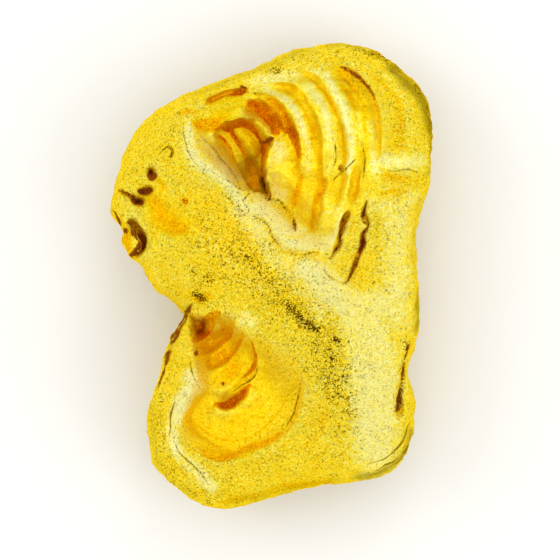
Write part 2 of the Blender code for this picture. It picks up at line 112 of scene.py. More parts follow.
def polar(x, y):
    """Angle about the middle, and distance from it."""
    dx, dy = x - MIDDLE[0], y - MIDDLE[1]
    return np.arctan2(dy, dx), np.hypot(dx, dy)


edge_angle, edge_reach = polar(*edge.T)
order = np.argsort(edge_angle)
edge_angle, edge_reach = edge_angle[order], edge_reach[order]


def true_reach(angle):
    return np.interp(angle, edge_angle, edge_reach, period=2 * np.pi)


full_turn = np.arange(TURN_STEPS) / TURN_STEPS * 2 * np.pi
broad = np.fft.rfft(true_reach(full_turn))[:BROAD_WAVES] / TURN_STEPS


def blended_reach(angle, share):
    """The reach at a share of the way out: softened near the middle, and true at the edge."""
    soft = broad[0].real + 0 * angle
    for n, wave in enumerate(broad[1:], 1):
        soft = soft + 2 * (wave.real * np.cos(n * angle) - wave.imag * np.sin(n * angle))
    return soft + (true_reach(angle) - soft) * share**SOFTENING


print("reach:", edge_reach.min().round(1), "to", edge_reach.max().round(1), "mm")

# %% [markdown]
# ## A skin to sculpt on
# The nugget is two skins that meet along the outline: the hollowed front and the worn back. A sculptor
# would push a ball of clay about. In code, a height for each point does the same job and gives the
# same result on every run. A new skin is a plain rounded slab, whose rim swings gently up and down
# twice in a turn, and the tools then lift it or sink it. They fade out near the rim, so that the two
# skins always meet. A tool also knows best where it leaves a dark corner or a smooth wall, so a skin
# can be painted with marks: numbers from 0 up, one for each point, that the finish reads later.

# %% The skin
RIM_HEIGHT = 6.9
RIM_SWING = 0.8
RIM_SWING_TURN = 0.8  # radians
RIM_BAND = 0.07  # the last share of the way out, over which the tools fade
MARKS = ("shade", "smooth", "grit", "wear_and_highlight", "rim_shade", "brown", "orange", "crust", "crack")


def ease(t):
    """0 to 1 with level ends, held outside."""
    t = np.clip(t, 0, 1)
    return t * t * (3 - 2 * t)


class Skin:
    """One side of the nugget: its points, their heights z, and marks painted on it for the finish."""

    def __init__(self, x, y, rise, fullness):
        angle, distance = polar(x, y)
        share = np.clip(distance / true_reach(angle), 0, 1)
        soft_share = np.clip(distance / blended_reach(angle, share), 0, 1)
        inner, outer = fullness
        rim = RIM_HEIGHT + RIM_SWING * np.cos(2 * angle - RIM_SWING_TURN) * share**2
        self.x, self.y = x, y
        self.slab = rim + rise * (1 - soft_share**inner) ** (1 / outer)
        self.z = self.slab.copy()
        self.fade = ease((1 - share) / RIM_BAND)
        self.marks = {name: np.zeros(len(x)) for name in MARKS}

    def lift(self, amount, near=slice(None)):
        self.z[near] += amount * self.fade[near]

    def paint(self, mark, cover, near=slice(None)):
        """Keeps the stronger of what the mark says already and the new cover."""
        self.marks[mark][near] = np.maximum(self.marks[mark][near], cover)

    def around(self, line, margin):
        """Numbers of the points within a margin of the line's own box."""
        low, high = line.min(0) - margin, line.max(0) + margin
        return np.flatnonzero(
            (self.x > low[0]) & (self.x < high[0]) & (self.y > low[1]) & (self.y < high[1])
        )

# %% [markdown]
# ## A grid that fills the outline
# A square grid is easy to join into faces and to unfold for painting, but the nugget is round. So the
# square is drawn out into a disc, and the disc into the outline. The rows are closest together at the
# edge, where the skin turns steeply down and would otherwise get long thin faces.

# %% The two grids
FRONT_CELLS = 280
BACK_CELLS = FRONT_CELLS // 2
CROWDING = 0.25


def skin_grid(cells):
    """The grid's points inside the outline, and where they are on the flat square, from 0 to 1."""
    side = np.linspace(-1, 1, cells + 1)
    u, v = (line.ravel() for line in np.meshgrid(side, side))
    across, along = u * np.sqrt(1 - v**2 / 2), v * np.sqrt(1 - u**2 / 2)
    angle, out = np.arctan2(along, across), np.minimum(np.hypot(across, along), 1)
    share = out * (1 + CROWDING - CROWDING * out**4)
    reach = share * blended_reach(angle, share)
    x, y = MIDDLE[0] + reach * np.cos(angle), MIDDLE[1] + reach * np.sin(angle)
    return x, y, (np.stack([u, v], 1) + 1) / 2


front_x, front_y, front_flat = skin_grid(FRONT_CELLS)
back_x, back_y, back_flat = skin_grid(BACK_CELLS)
print("grid points:", len(front_x), "on the front and", len(back_x), "on the back")

# %% [markdown]
# ## Swells and ridges
# The broad form comes first: the round lobe on the left, its lip, the full right side, and the saddle
# ridge that runs between the two hollows. A swell is one soft mound. A ridge is a row of such mounds,
# threaded closely on a line like beads, which gives it a smooth round section even where the line
# bends. Moving every point by its distance to the line would leave a crease inside each bend.

# %% Swell and ridge tools, and the broad form
FRONT_RISE = 6.3
FRONT_FULLNESS = (2.6, 2.2)
FORM_REACH = 3  # a ridge or a ledge is as good as nothing beyond that many of its widths
SWELLS = (
    ((-9.6, 5.9), (5.0, 6.2), 1.7, 0),  # the round lobe on the left
    ((-8.2, 0.1), (3.6, 2.6), 0.9, -30),  # its lip over the lower hollow
    ((9.9, -10.3), (3.0, 7.0), 0.9, 5),  # the full right side
    ((11.6, -4), (2.0, 6.0), 0.5, 0),
    ((6.2, 3.7), (4.5, 3.0), 0.5, 0),
    ((-3.2, 1.6), (4.0, 3.0), -0.3, -30),  # a shallow sag between lobe and saddle
    ((-9.7, 5.8), (2.0, 2.0), -0.8, 0),  # a basin beside the pits of the lobe
    ((3.1, 4), (1.8, 1.4), 0.6, 0),
)
RIDGES = (
    (
        [(-7.3, 14.8), (-7.5, 12.7), (-6.8, 10.4), (-4.6, 8.6), (-2.3, 6.6), (0.3, 4), (3.5, 0.5),
         (6.6, -3.1)],
        1.8, 1.3,
    ),
    ([(1.2, -0.8), (3.5, -4.9), (6.2, -9.4), (7.1, -13.9)], 4.0, 1.0),
    ([(-9, -16.1), (-8.4, -13.4), (-8, -11.2), (-7.3, -8.9)], 1.1, 1.1),
)


def run_along(line):
    """How far along the line each of its points is."""
    return np.concatenate([[0], np.cumsum(np.hypot(*np.diff(line, axis=0).T))])


def evenly(line, spacing):
    """Points along the line at equal distances, and that distance."""
    run = run_along(line)
    count = max(2, int(np.ceil(run[-1] / spacing)) + 1)
    at = np.linspace(0, run[-1], count)
    return np.stack([np.interp(at, run, line[:, i]) for i in (0, 1)], 1), run[-1] / (count - 1)


def mound(skin, middle, half_widths, turn=0, steepness=2):
    """A mound of height 1 at every point; a steeper one has a flatter top."""
    c, s = np.cos(np.radians(turn)), np.sin(np.radians(turn))
    dx, dy = skin.x - middle[0], skin.y - middle[1]
    u, v = (dx * c + dy * s) / half_widths[0], (dy * c - dx * s) / half_widths[1]
    return np.exp(-np.hypot(u, v) ** steepness)


def bead_row(skin, points, width):
    """Numbers of the points near a line, and a rounded ridge of height 1 there."""
    beads, spacing = evenly(smooth_line(points), width / 2)
    near = skin.around(beads, FORM_REACH * width)
    total = np.zeros(len(near))
    for bx, by in beads:
        total += np.exp(-((skin.x[near] - bx) ** 2 + (skin.y[near] - by) ** 2) / width**2)
    return near, total * spacing / (width * np.sqrt(np.pi))


def ridge(skin, points, width, rise):
    near, height = bead_row(skin, points, width)
    skin.lift(rise * height, near)


front = Skin(front_x, front_y, FRONT_RISE, FRONT_FULLNESS)
for middle, half_widths, rise, turn in SWELLS:
    front.lift(rise * mound(front, middle, half_widths, turn))
for line, width, rise in RIDGES:
    ridge(front, line, width, rise)
print("broad form: highest point", front.z.max().round(1), "mm")

# %% [markdown]
# ## The hollows
# The fan is a broad hollow that climbs to the top and to the right, with a deep pocket at its left.
# The lower hollow is deepest under the lip of the lobe and opens downwards. A boolean cut would give
# sharp, machined edges. Instead, what lies inside a closed line sinks to a dished floor, and the wall
# that leads down to it can be narrow at one side and wide at the other. Each hollow is its line, the
# lowest place of its floor and the height there, then how steeply the floor climbs and how wide the
# wall is, both to the left, the right, down and up. Stones in the stream couldn't scour the inside of
# a hollow, so it is marked as smooth.

# %% Hollow tool, and the hollows
HOLLOWS = (
    (  # the fan: a broad hollow that climbs to the top and to the right
        [(-6.4, 15.5), (-3.9, 17), (-0.3, 18.3), (2.7, 19.5), (5.7, 20.1), (8.4, 19), (10.7, 17),
         (11.9, 14), (12.1, 10.9), (11.2, 7.3), (9.2, 4), (6.5, 1.8), (3.8, 1.8), (1.8, 3.2),
         (0.4, 5.4), (-1.2, 6.9), (-3, 7.7), (-4.6, 9.2), (-6.2, 11), (-7.2, 13.3)],
        (-0.7, 9), 8.7, (0.35, 0.36, 0.5, 0.42), (1.9, 3.6, 3.6, 1.7),
    ),
    (  # the deep pocket at its left
        [(-5.4, 13.1), (-4.1, 13.9), (-2.5, 14.3), (-1.2, 13.8), (-0.3, 12.4), (-0.5, 10.4),
         (-0.2, 7.4), (-1.2, 7.4), (-2.3, 7.8), (-3.2, 9.3), (-4.4, 11.1)],
        (-1.8, 9), 7.3, (0.2, 0.2, 0.4, 0.42), (0.6, 0.5, 0.5, 0.6),
    ),
    (  # the lower bowl, wide open to the right
        [(-8.1, -11.2), (-7.2, -9.4), (-5.9, -7.2), (-4.5, -5.2), (-2.4, -4.5), (-0.1, -5.4),
         (2.4, -7), (4.2, -9.2), (4.5, -11.9), (3.3, -14.3), (1.1, -15.9), (-1.8, -16.9),
         (-4.6, -17.3), (-6.6, -16.4), (-7.8, -14.9), (-8.4, -13)],
        (-4.1, -11.7), 9.6, (0.3, 0.24, 0.27, 0.24), (1.4, 4.6, 2.0, 3.2),
    ),
    (  # the channel above it, deepest under the lobe's lip
        [(-7.7, -3.2), (-6.6, -3.4), (-5.4, -3.5), (-4.2, -3.1), (-2.8, -4), (-1.8, -5.6),
         (-1.2, -7.7), (-1.6, -9.9), (-2.8, -11.3), (-4.6, -11.9), (-6.1, -11.1), (-6.8, -9.4),
         (-7.2, -7.4), (-7.5, -5.3)],
        (-6.1, -4.8), 8.5, (0.4, 0.5, 0.3, 0.4), (0.6, 2.6, 1.8, 0.7),
    ),
)


def beside(skin, line, near):
    """For the points near: distance to the line, the side they are on, and how far along it."""
    x, y = skin.x[near], skin.y[near]
    run = run_along(line)
    best = np.full(len(near), np.inf)
    side, along = np.zeros(len(near)), np.zeros(len(near))
    for (ax, ay), (bx, by), start in zip(line, line[1:], run):
        vx, vy = bx - ax, by - ay
        length = np.hypot(vx, vy)
        t = np.clip(((x - ax) * vx + (y - ay) * vy) / length**2, 0, 1)
        distance = np.hypot(x - ax - t * vx, y - ay - t * vy)
        closer = distance < best
        best = np.where(closer, distance, best)
        side = np.where(closer, np.sign(vx * (y - ay) - vy * (x - ax)), side)
        along = np.where(closer, (start + t * length) / run[-1], along)
    return best, side, along


def is_inside(x, y, line):
    """Whether each point is inside the closed line, by counting the edges to its right."""
    inside = np.zeros(len(x), bool)
    for (ax, ay), (bx, by) in zip(line, line[1:]):
        if ay != by:
            inside ^= ((ay > y) != (by > y)) & (x < ax + (y - ay) / (by - ay) * (bx - ax))
    return inside


def stretched(dx, dy, sizes):
    """Length of each step, after stretching it by the sizes for left, right, down and up."""
    left, right, down, up = sizes
    return np.hypot(np.where(dx < 0, left, right) * dx, np.where(dy < 0, down, up) * dy)


def hollow(skin, points, lowest, height, climbs, walls):
    """Sinks what is inside a closed line down to a dished floor, over the width of a wall."""
    line = smooth_line(points, closed=True)
    line = np.vstack([line, line[:1]])
    near = skin.around(line, 0)
    x, y = skin.x[near], skin.y[near]
    dx, dy = x - lowest[0], y - lowest[1]
    floor = height + stretched(dx, dy, climbs)
    wall = stretched(dx, dy, walls) / np.hypot(dx, dy)
    distance, inside = beside(skin, line, near)[0], is_inside(x, y, line)
    down_the_wall = np.where(inside, ease(distance / wall), 0)
    skin.lift(np.minimum(floor - skin.z[near], 0) * down_the_wall, near)
    skin.paint("smooth", down_the_wall, near)


for line, lowest, height, climbs, walls in HOLLOWS:
    hollow(front, line, lowest, height, climbs, walls)
print("hollows: deepest", (front.slab - front.z).max().round(1), "mm below the slab")

# %% [markdown]
# ## Ledges in the fan
# Both hollows are stepped: treads lie one above the other, with risers between them that are sharp at
# the crest, at the foot, or at neither. Each ledge is one line, with the high side on its left, and
# then its drop, the widths of its riser and its tread, and where it is sharp. The step levels out over
# the treads, and tapers away at both ends, so that no ledge stops dead. The riser is marked as shade,
# and the deeper the drop, the more. The fan's ledges come first, from the pocket outwards.

# %% Ledge tool, and the fan's ledges
LEDGE_ENDS = 0.15  # the share of the line over which an end tapers
EDGE_BLUR = 0.2
TREAD_FALL = 1.5  # more gives a tread with a squarer end
DARKEST_DROP = 1.6
FAN_LEDGES = (
    ([(-5.4, 13.2), (-4.4, 12.1), (-3.4, 10.5), (-2.7, 9.2)], 0.7, 0.25, 0.8, "crest"),
    (
        [(-4.5, 14), (-3.6, 13.7), (-2.7, 12.6), (-1.8, 11.2), (-1.1, 9.9), (-0.9, 8.5)],
        1.0, 0.4, 0.9, "crest",
    ),
    (
        [(-5.4, 13.6), (-3.9, 14.1), (-2.3, 14.3), (-1.2, 13.7), (-0.4, 12.6), (-0.2, 11.7),
         (-0.5, 10.3), (-0.6, 8.8), (-0.2, 7.6)],
        1.4, 0.35, 1.2, "crest",
    ),
    (
        [(-3, 15.9), (-1.4, 16), (-0.3, 15.6), (0.5, 14.7), (1, 13.7), (1.2, 12.7)],
        1.3, 0.5, 1.1, "crest",
    ),
    (
        [(-2.7, 16.6), (-1, 16.6), (0.5, 16), (1.6, 14.7), (2.3, 12.7), (2.6, 10.6), (2.3, 8.6)],
        1.5, 0.45, 1.4, "crest",
    ),
    (
        [(-1.4, 17.2), (0.4, 17.6), (2, 17.3), (3.3, 16), (4.2, 13.9), (4.5, 11.2), (4.5, 8.3),
         (3.9, 5.6)],
        1.2, 0.4, 1.6, "crest",
    ),
    (
        [(1.5, 18.8), (3.1, 18.4), (4.5, 17.2), (5.5, 15.6), (6.2, 13.5), (6.3, 11.3), (6, 8.3),
         (5.3, 5.6)],
        1.1, 0.35, 1.7, "foot",
    ),
    (
        [(4.9, 19.3), (6.7, 18.2), (7.8, 16.6), (8.3, 14.6), (8.3, 12.2), (8, 9)],
        0.7, 0.5, 1.6, "soft",
    ),
    (
        [(5.3, 19.3), (7.2, 18.7), (8.6, 17.4), (9.5, 15.6), (9.9, 13.1), (9.6, 9.9)],
        1.2, 0.22, 1.5, "crest",
    ),
    ([(8.5, 18.9), (10.1, 17.6), (11.4, 15.5), (11.7, 13), (11.3, 10.4)], 0.5, 0.5, 1.8, "soft"),
    ([(9.4, 7.6), (10.8, 8), (12.3, 7.8)], 0.4, 0.25, 1.0, "crest"),
    ([(9.8, 9.4), (10.8, 9), (12.5, 8.9)], 0.5, 0.25, 1.0, "foot"),
)


def depth_shade(depth):
    """How dark a step or groove of that depth looks, up to 1."""
    return np.minimum(depth / DARKEST_DROP, 1)


def ledge(skin, points, drop, riser, tread, sharp):
    """A step down across a line, from its left to its right."""
    line = smooth_line(points)
    near = skin.around(line, FORM_REACH * tread)
    distance, side, along = beside(skin, line, near)
    taper = ease(along / LEDGE_ENDS) * ease((1 - along) / LEDGE_ENDS)
    curve = 1 - 2 * np.exp(-distance / riser)
    low_side = ease(0.5 - side * distance / EDGE_BLUR)
    if sharp == "crest":
        step = np.where(side > 0, 1, -curve)
        cover = low_side * np.exp(-distance / riser)
    elif sharp == "foot":
        step = np.where(side > 0, curve, -1)
        cover = (1 - low_side) * np.exp(-distance / riser)
    else:
        step = side * np.tanh(distance / riser)
        cover = np.exp(-((distance / riser) ** 2))
    skin.lift(drop / 2 * taper * step * np.exp(-((distance / tread) ** TREAD_FALL)), near)
    skin.paint("shade", depth_shade(drop) * taper * cover, near)


for step_line in FAN_LEDGES:
    ledge(front, *step_line)
print("ledges in the fan:", len(FAN_LEDGES))

# %% [markdown]
# ## Folds
# Below the fan, and on the lobe, the gold is folded into a few low steps that wander across the
# surface. They are made as ledges too.

# %% The folds
FOLD_LEDGES = (
    (
        [(-2.3, 7.8), (-0.9, 7.5), (-0.2, 7), (0.6, 7), (1.1, 6.5), (1.6, 5.8), (2.1, 4)],
        0.9, 0.3, 0.9, "foot",
    ),
    (
        [(-2.5, 6), (-1.8, 5.4), (-0.9, 5), (-0.3, 4.2), (0.1, 3.3), (0.9, 2.3), (1.7, 2),
         (2.9, 2.1), (4.2, 2.2), (4.9, 1.7)],
        0.8, 0.3, 1.0, "foot",
    ),
    ([(-7, 4.9), (-7.4, 4), (-8.3, 3.5), (-9.4, 3.6), (-10.3, 4.1)], 0.6, 0.5, 1.5, "crest"),
)

for step_line in FOLD_LEDGES:
    ledge(front, *step_line)
print("folds:", len(FOLD_LEDGES))

# %% [markdown]
# ## Ledges in the lower hollow
# Here the ledges are smaller, and lie one inside the other: short ones down the channel under the lip,
# then long ones round the bowl.

# %% The lower hollow's ledges
LOWER_LEDGES = (
    ([(-4.5, -3.3), (-5.2, -4.1), (-5.9, -4.9), (-6.7, -5.5)], 1.0, 0.5, 0.9, "crest"),
    (
        [(-3.4, -3.6), (-3.6, -4.9), (-4.2, -5.8), (-5, -6.6), (-5.9, -7), (-6.9, -6.9)],
        1.5, 0.6, 1.2, "crest",
    ),
    ([(-2.5, -4.7), (-3, -6.2), (-4, -7.6), (-5.2, -8.4), (-6.2, -8.7)], 1.0, 0.45, 1.1, "crest"),
    ([(-2.3, -7.7), (-3.1, -9.1), (-4.1, -9.9), (-5.3, -10.3)], 0.6, 0.3, 0.8, "crest"),
    ([(-2.1, -6), (-1.8, -7.4), (-1.4, -8.5), (-2.2, -9.6), (-3.2, -10.3)], 0.7, 0.2, 0.7, "crest"),
    (
        [(-1.8, -9.7), (-2.4, -11), (-3.5, -11.9), (-4.5, -12.1), (-5.5, -11.4)],
        1.4, 0.5, 1.0, "crest",
    ),
    (
        [(0.8, -14.4), (-0.7, -15.3), (-2.3, -15.8), (-3.6, -16.3), (-4.8, -16.6), (-6.1, -16.1),
         (-7, -15.1)],
        1.2, 0.5, 1.3, "crest",
    ),
    (
        [(2.6, -8.6), (2.8, -10.8), (2.1, -12.9), (0.7, -14.5), (-1.2, -15.4)],
        0.6, 0.35, 1.5, "crest",
    ),
    ([(-3.9, -15.3), (-5.5, -14.8), (-6.8, -13.5), (-7.6, -12.2)], 0.5, 0.4, 0.8, "foot"),
    ([(5.1, -11.3), (4.8, -13.4), (3.5, -15.7)], 0.35, 0.25, 1.4, "crest"),
)

for step_line in LOWER_LEDGES:
    ledge(front, *step_line)
print("ledges in the lower hollow:", len(LOWER_LEDGES))

# %% [markdown]
# ## Grooves, crevices and pits
# Where the metal folded as it grew it left crevices, and gas and grit left pits. A groove is a ridge
# turned upside down. A pit is a mound turned upside down, with steep sides. Both are marked as shade,
# a groove half as much as a ledge of its depth, because it is narrow.

# %% Grooves and pits
GROOVE_SHADE = 0.5
PIT_STEEPNESS = 4
GROOVES = (
    (
        [(6.8, 5.7), (6.5, 5.2), (6.3, 4.7), (6.3, 4.1), (6, 3.5), (6.1, 3), (5.5, 2.2),
         (5.3, 1.8)],
        0.16, 1.2,
    ),
    (
        [(8.5, 6.7), (8.3, 6.1), (8.2, 5.7), (8.6, 5), (8.6, 4.5), (8.1, 3.8), (8.2, 3.1),
         (7.9, 2.4)],
        0.16, 1.1,
    ),
    ([(7.9, 2.4), (7.5, 1.4), (7.1, 0.4), (6.6, -0.5), (5.7, -0.4), (4.7, 0.3)], 0.12, 0.4),
    ([(-5.8, 15.9), (-5, 16.3), (-4.1, 16.6), (-3.2, 16.7), (-2.5, 16.9)], 0.28, 0.9),
    ([(-8.3, 14.6), (-7.7, 15), (-6.8, 14.8)], 0.3, 0.6),
    ([(-6.7, 13.7), (-5.9, 13.6), (-5.2, 13.8)], 0.5, 0.8),
    ([(-2.1, 15.2), (-1.1, 14.8), (-0.4, 14.1), (0.1, 13.2)], 0.5, 0.9),
    ([(-0.9, 9), (-0.6, 8.1), (-0.4, 7.4)], 0.25, 1.2),
    ([(4.7, 8.6), (4.3, 7.7), (4.1, 6.7), (3.9, 5.5), (3.6, 4.2)], 0.3, 0.7),
    ([(7.6, 9.7), (7.4, 8.5), (7.1, 7)], 0.3, 0.5),
    (
        [(12.4, -5.6), (12.1, -6.7), (11.7, -7.7), (11.6, -9.2), (11.4, -10.4), (11.6, -12.4)],
        0.28, 0.7,
    ),
    ([(-13.7, 7.7), (-12.9, 7.3), (-11.9, 6.8)], 0.25, 0.9),
    ([(-10.5, 8.8), (-9.9, 8.3), (-9.8, 7.6)], 0.35, 0.4),
    ([(-12.8, 5), (-12.2, 4.4), (-11.7, 3.7), (-11.5, 3.1), (-11.8, 2.3), (-12.6, 1.8)], 0.24, 2.2),
    ([(-14.3, 6), (-13.8, 5), (-13.3, 4)], 0.2, 0.6),
)
PITS = (
    ((-10.9, 9.4), (0.42, 0.48), 1.2, 20),
    ((-11.4, 7.7), (0.68, 0.38), 1.2, 8),
    ((-12, 6.8), (0.52, 0.48), 1.2, 0),
    ((-0.3, 12.2), (0.3, 0.4), 0.9, 0),
)

for line, width, depth in GROOVES:
    near, height = bead_row(front, line, width)
    front.lift(-depth * height, near)
    front.paint("shade", GROOVE_SHADE * depth_shade(depth) * height, near)
for middle, half_widths, depth, turn in PITS:
    shape = mound(front, middle, half_widths, turn, PIT_STEEPNESS)
    front.lift(-depth * shape)
    front.paint("shade", shape)
print("grooves:", len(GROOVES), "and pits:", len(PITS))

# %% [markdown]
# ## The back
# The back was rolled smoother than the face. It is a plain rounded bottom with a few dents, grooves
# and pits. The flat worn patch that the nugget lies on comes later, when everything is in one mesh.

# %% The back skin
BACK_DROP = 7.7
BACK_FULLNESS = (2.0, 2.0)
BACK_SWELLS = (
    ((-6.4, 11.3), (5.5, 5.0), 0.9, 30),
    ((7.1, -13), (4.5, 6.0), 0.7, -20),
    ((-4.2, -11.2), (3.0, 4.0), 0.8, 10),
    ((5.3, 6.8), (3.2, 5.0), -1.0, 15),
    ((-8.2, 3.7), (2.4, 3.0), -0.8, -35),
    ((1.7, -16.1), (3.4, 1.8), -0.7, 5),
)
BACK_GROOVES = (
    ([(9.8, 14), (8, 10.4), (7.8, 6.4), (6, 2.8)], 0.7, 0.8),
    ([(-5.1, 14.9), (-2.8, 13.3), (-0.3, 13)], 0.5, 0.6),
    ([(-7.3, -4.9), (-5.1, -6.2), (-3.2, -9), (-2.8, -12.1)], 0.6, 0.8),
)
BACK_PITS = (
    ((10.2, 2.3), (0.9, 0.7), 0.9, 30),
    ((-1.9, -17), (0.6, 0.8), 0.7, 0),
    ((-10, 9.1), (0.8, 0.5), 0.8, -20),
)

back = Skin(back_x, back_y, -BACK_DROP, BACK_FULLNESS)
for middle, half_widths, rise, turn in BACK_SWELLS:
    back.lift(-rise * mound(back, middle, half_widths, turn))
for line, width, depth in BACK_GROOVES:
    ridge(back, line, width, depth)
for middle, half_widths, depth, turn in BACK_PITS:
    back.lift(depth * mound(back, middle, half_widths, turn, PIT_STEEPNESS))
print("back: lowest point", back.z.min().round(1), "mm")

# %% [markdown]
# ## One closed mesh
# The front has twice as many cells along a side as the back, because its small forms need them and
# the plain back doesn't. Along the rim every second point of the front is also a point of the back.
# A face of the back that lies along the rim takes in the front's extra point as one more corner, so
# the mesh closes with no gap.

# %% Join the skins
def front_number(row, column):
    return row * (FRONT_CELLS + 1) + column


def back_number(row, column):
    """The mesh's point at a place on the back's grid; on the rim it is the front's point."""
    if 0 < row < BACK_CELLS and 0 < column < BACK_CELLS:
        return len(front_x) + (row - 1) * (BACK_CELLS - 1) + column - 1
    return front_number(2 * row, 2 * column)


def back_face(row, column):
    corners = [(row, column), (row + 1, column), (row + 1, column + 1), (row, column + 1)]
    face = []
    for (r, c), (next_r, next_c) in zip(corners, corners[1:] + corners[:1]):
        face.append(back_number(r, c))
        if r == next_r and r in (0, BACK_CELLS) or c == next_c and c in (0, BACK_CELLS):
            face.append(front_number(r + next_r, c + next_c))
    return face


front_faces = [
    [front_number(r, c), front_number(r, c + 1), front_number(r + 1, c + 1), front_number(r + 1, c)]
    for r in range(FRONT_CELLS)
    for c in range(FRONT_CELLS)
]
back_faces = [back_face(r, c) for r in range(BACK_CELLS) for c in range(BACK_CELLS)]
inner = ((back_flat > 0) & (back_flat < 1)).all(1)
joined = np.vstack([
    np.stack([front.x, front.y, front.z], 1),
    np.stack([back.x, back.y, back.z], 1)[inner],
])
mesh = bpy.data.meshes.new("nugget_surface")
mesh.from_pydata(joined.tolist(), [], front_faces + back_faces)
print("mesh:", len(mesh.vertices), "points and", len(mesh.polygons), "faces")

# %% [markdown]
# ## Unevenness of every size
# No part of a real nugget is perfectly smooth. Waves of several lengths are added along the surface's
# own direction, so that the steep sides get them too. A displacement modifier with a noise texture
# could do this, but a sum of a few tilted sine waves is quick, has no seams, and can be used again for
# the plain solid.

# %% Waves along the surface
WAVES = ((7.0, 0.12), (2.6, 0.04), (1.3, 0.03), (0.7, 0.018))  # length and height
WAVES_PER_SIZE = 14


def waves_at(x, y, z, length, seed):
    """Smooth uneven swelling of about that wavelength, mostly between -1 and 1."""
    rng = np.random.default_rng(seed)
    total = np.zeros(len(x))
    for _ in range(WAVES_PER_SIZE):
        way = rng.normal(size=3)
        way *= 2 * np.pi / length * rng.uniform(0.6, 1.6) / np.linalg.norm(way)
        total += np.sin(way[0] * x + way[1] * y + way[2] * z + rng.uniform(0, 2 * np.pi))
    return total / np.sqrt(WAVES_PER_SIZE / 2)


def read_points(what="co"):
    """The mesh's points, or with "normal" their directions, one row each."""
    flat = np.empty(len(mesh.vertices) * 3)
    mesh.vertices.foreach_get(what, flat)
    return flat.reshape(-1, 3)


points, normals = read_points(), read_points("normal")
for seed, (length, height) in enumerate(WAVES):
    points = points + normals * height * waves_at(*points.T, length, seed)[:, None]
mesh.vertices.foreach_set("co", points.ravel())
print("waves moved points by up to", np.abs(points - joined).max().round(2), "mm")

# %% [markdown]
# ## The worn patch
# Nuggets that were rolled for long have a flattened side, and this one rests on it. What lies below
# the table is levelled off, and what is only just above it is rounded off, so that no sharp line
# runs round the patch. Then the nugget is centred and given the plain solid's length.

# %% Level the patch and fit the solid
WORN_SOFTNESS = 0.4
LEVELLED_BELOW = 0.02

z = points[:, 2]
rounded = (z + WORN_SOFTNESS) ** 2 / (4 * WORN_SOFTNESS)
z = np.where(z < -WORN_SOFTNESS, 0, np.where(z < WORN_SOFTNESS, rounded, z))
points[:, 2] = np.where(z < LEVELLED_BELOW, 0, z)
low, high = points.min(0), points.max(0)
centre = [*(low + high)[:2] / 2, 0]
points = (points - centre) * (solid_high - solid_low)[1] / (high - low)[1]
points[:, :2] += (solid_low + solid_high)[:2] / 2
mesh.vertices.foreach_set("co", points.ravel())
mesh.update()
print("nugget:", (np.ptp(points, axis=0) / MM).round(2), "mm")

# %% [markdown]
# ## Unfolding
# The mesh is unfolded as the two squares that its grids were: the front fills the larger part of the
# picture, and the back a narrower strip beside it. A projection from above would squeeze the steep
# sides to nothing. The front's faces come first in the mesh, with four corners each, so a corner's
# number tells which skin it is on.

# %% Unfold both skins
FRONT_SHEET = ((0.01, 0.01), (0.66, 0.98))  # the corner it starts at, and its size
BACK_SHEET = ((0.99, 0.01), (-0.30, 0.98))  # mirrored, because it faces down

flat = np.vstack([front_flat, back_flat[inner]])
corner_point = np.empty(len(mesh.loops), int)
mesh.loops.foreach_get("vertex_index", corner_point)
on_front = np.arange(len(mesh.loops))[:, None] < 4 * len(front_faces)
places = np.where(
    on_front,
    np.array(FRONT_SHEET[0]) + flat[corner_point] * FRONT_SHEET[1],
    np.array(BACK_SHEET[0]) + flat[corner_point] * BACK_SHEET[1],
)
unfolded = mesh.uv_layers.new(name="OFBake")
unfolded.data.foreach_set("uv", places.ravel())
print("unfolded:", len(mesh.loops), "corners")

# %% [markdown]
# ## Marks for the finish
# The finish has to know where it is: gold in a deep fold sees only other gold, so it looks deep orange,
# while the high places catch the light and were rubbed pale. Rendering alone gives a part of that, and
# painted shade and painted highlights give the rest. The tools have left the painted shade and the
# smooth places. Two more are measured from the sculpted heights: how much a point lies below its
# surroundings, painted as shade, and how much above, painted as a highlight. The surroundings are found
# by blurring the heights along the grid, once over a few cells for small folds and once over more.

# %% Find folds and crests
FOLD_REACHES = ((3, 0.10), (11, 0.55))  # cells to each side, and how deep a deep fold is


def blurred(values, cells, reach):
    """The grid's values, averaged twice over a square of cells."""
    grid = values.reshape(cells + 1, cells + 1)
    width = 2 * reach + 1
    for axis in (0, 1, 0, 1):
        edges = [(reach + 1, reach) if axis == side else (0, 0) for side in (0, 1)]
        total = np.cumsum(np.pad(grid, edges, mode="edge"), axis)
        behind = np.arange(cells + 1)
        grid = (np.take(total, behind + width, axis) - np.take(total, behind, axis)) / width
    return grid.ravel()


def folds_and_crests(skin, cells, outward):
    """How far each point lies below its surroundings, as a share of a deep fold, and above them."""
    below = sum(
        outward * (blurred(skin.z, cells, reach) - skin.z) / depth for reach, depth in FOLD_REACHES
    )
    below = below / len(FOLD_REACHES) * skin.fade
    return np.clip(below, 0, 1), np.clip(-below, 0, 1)


# In the finish, folds are painted as shade and crests as a highlight.
front.marks["fold"], front.marks["crest"] = folds_and_crests(front, FRONT_CELLS, 1)
back.marks["fold"], back.marks["crest"] = folds_and_crests(back, BACK_CELLS, -1)
print("folds:", (front.marks["fold"] > 0.5).mean().round(3), "of the front is in a deep one")

# %% [markdown]
# ## Black sand
# Black sand is lodged in the skin, mostly in a band across the saddle and along the top right rim. It
# is colour, not shape, so it is painted as a mark with soft edges, with the same rows of beads that
# made the ridges: each row is a line, a width and a strength.

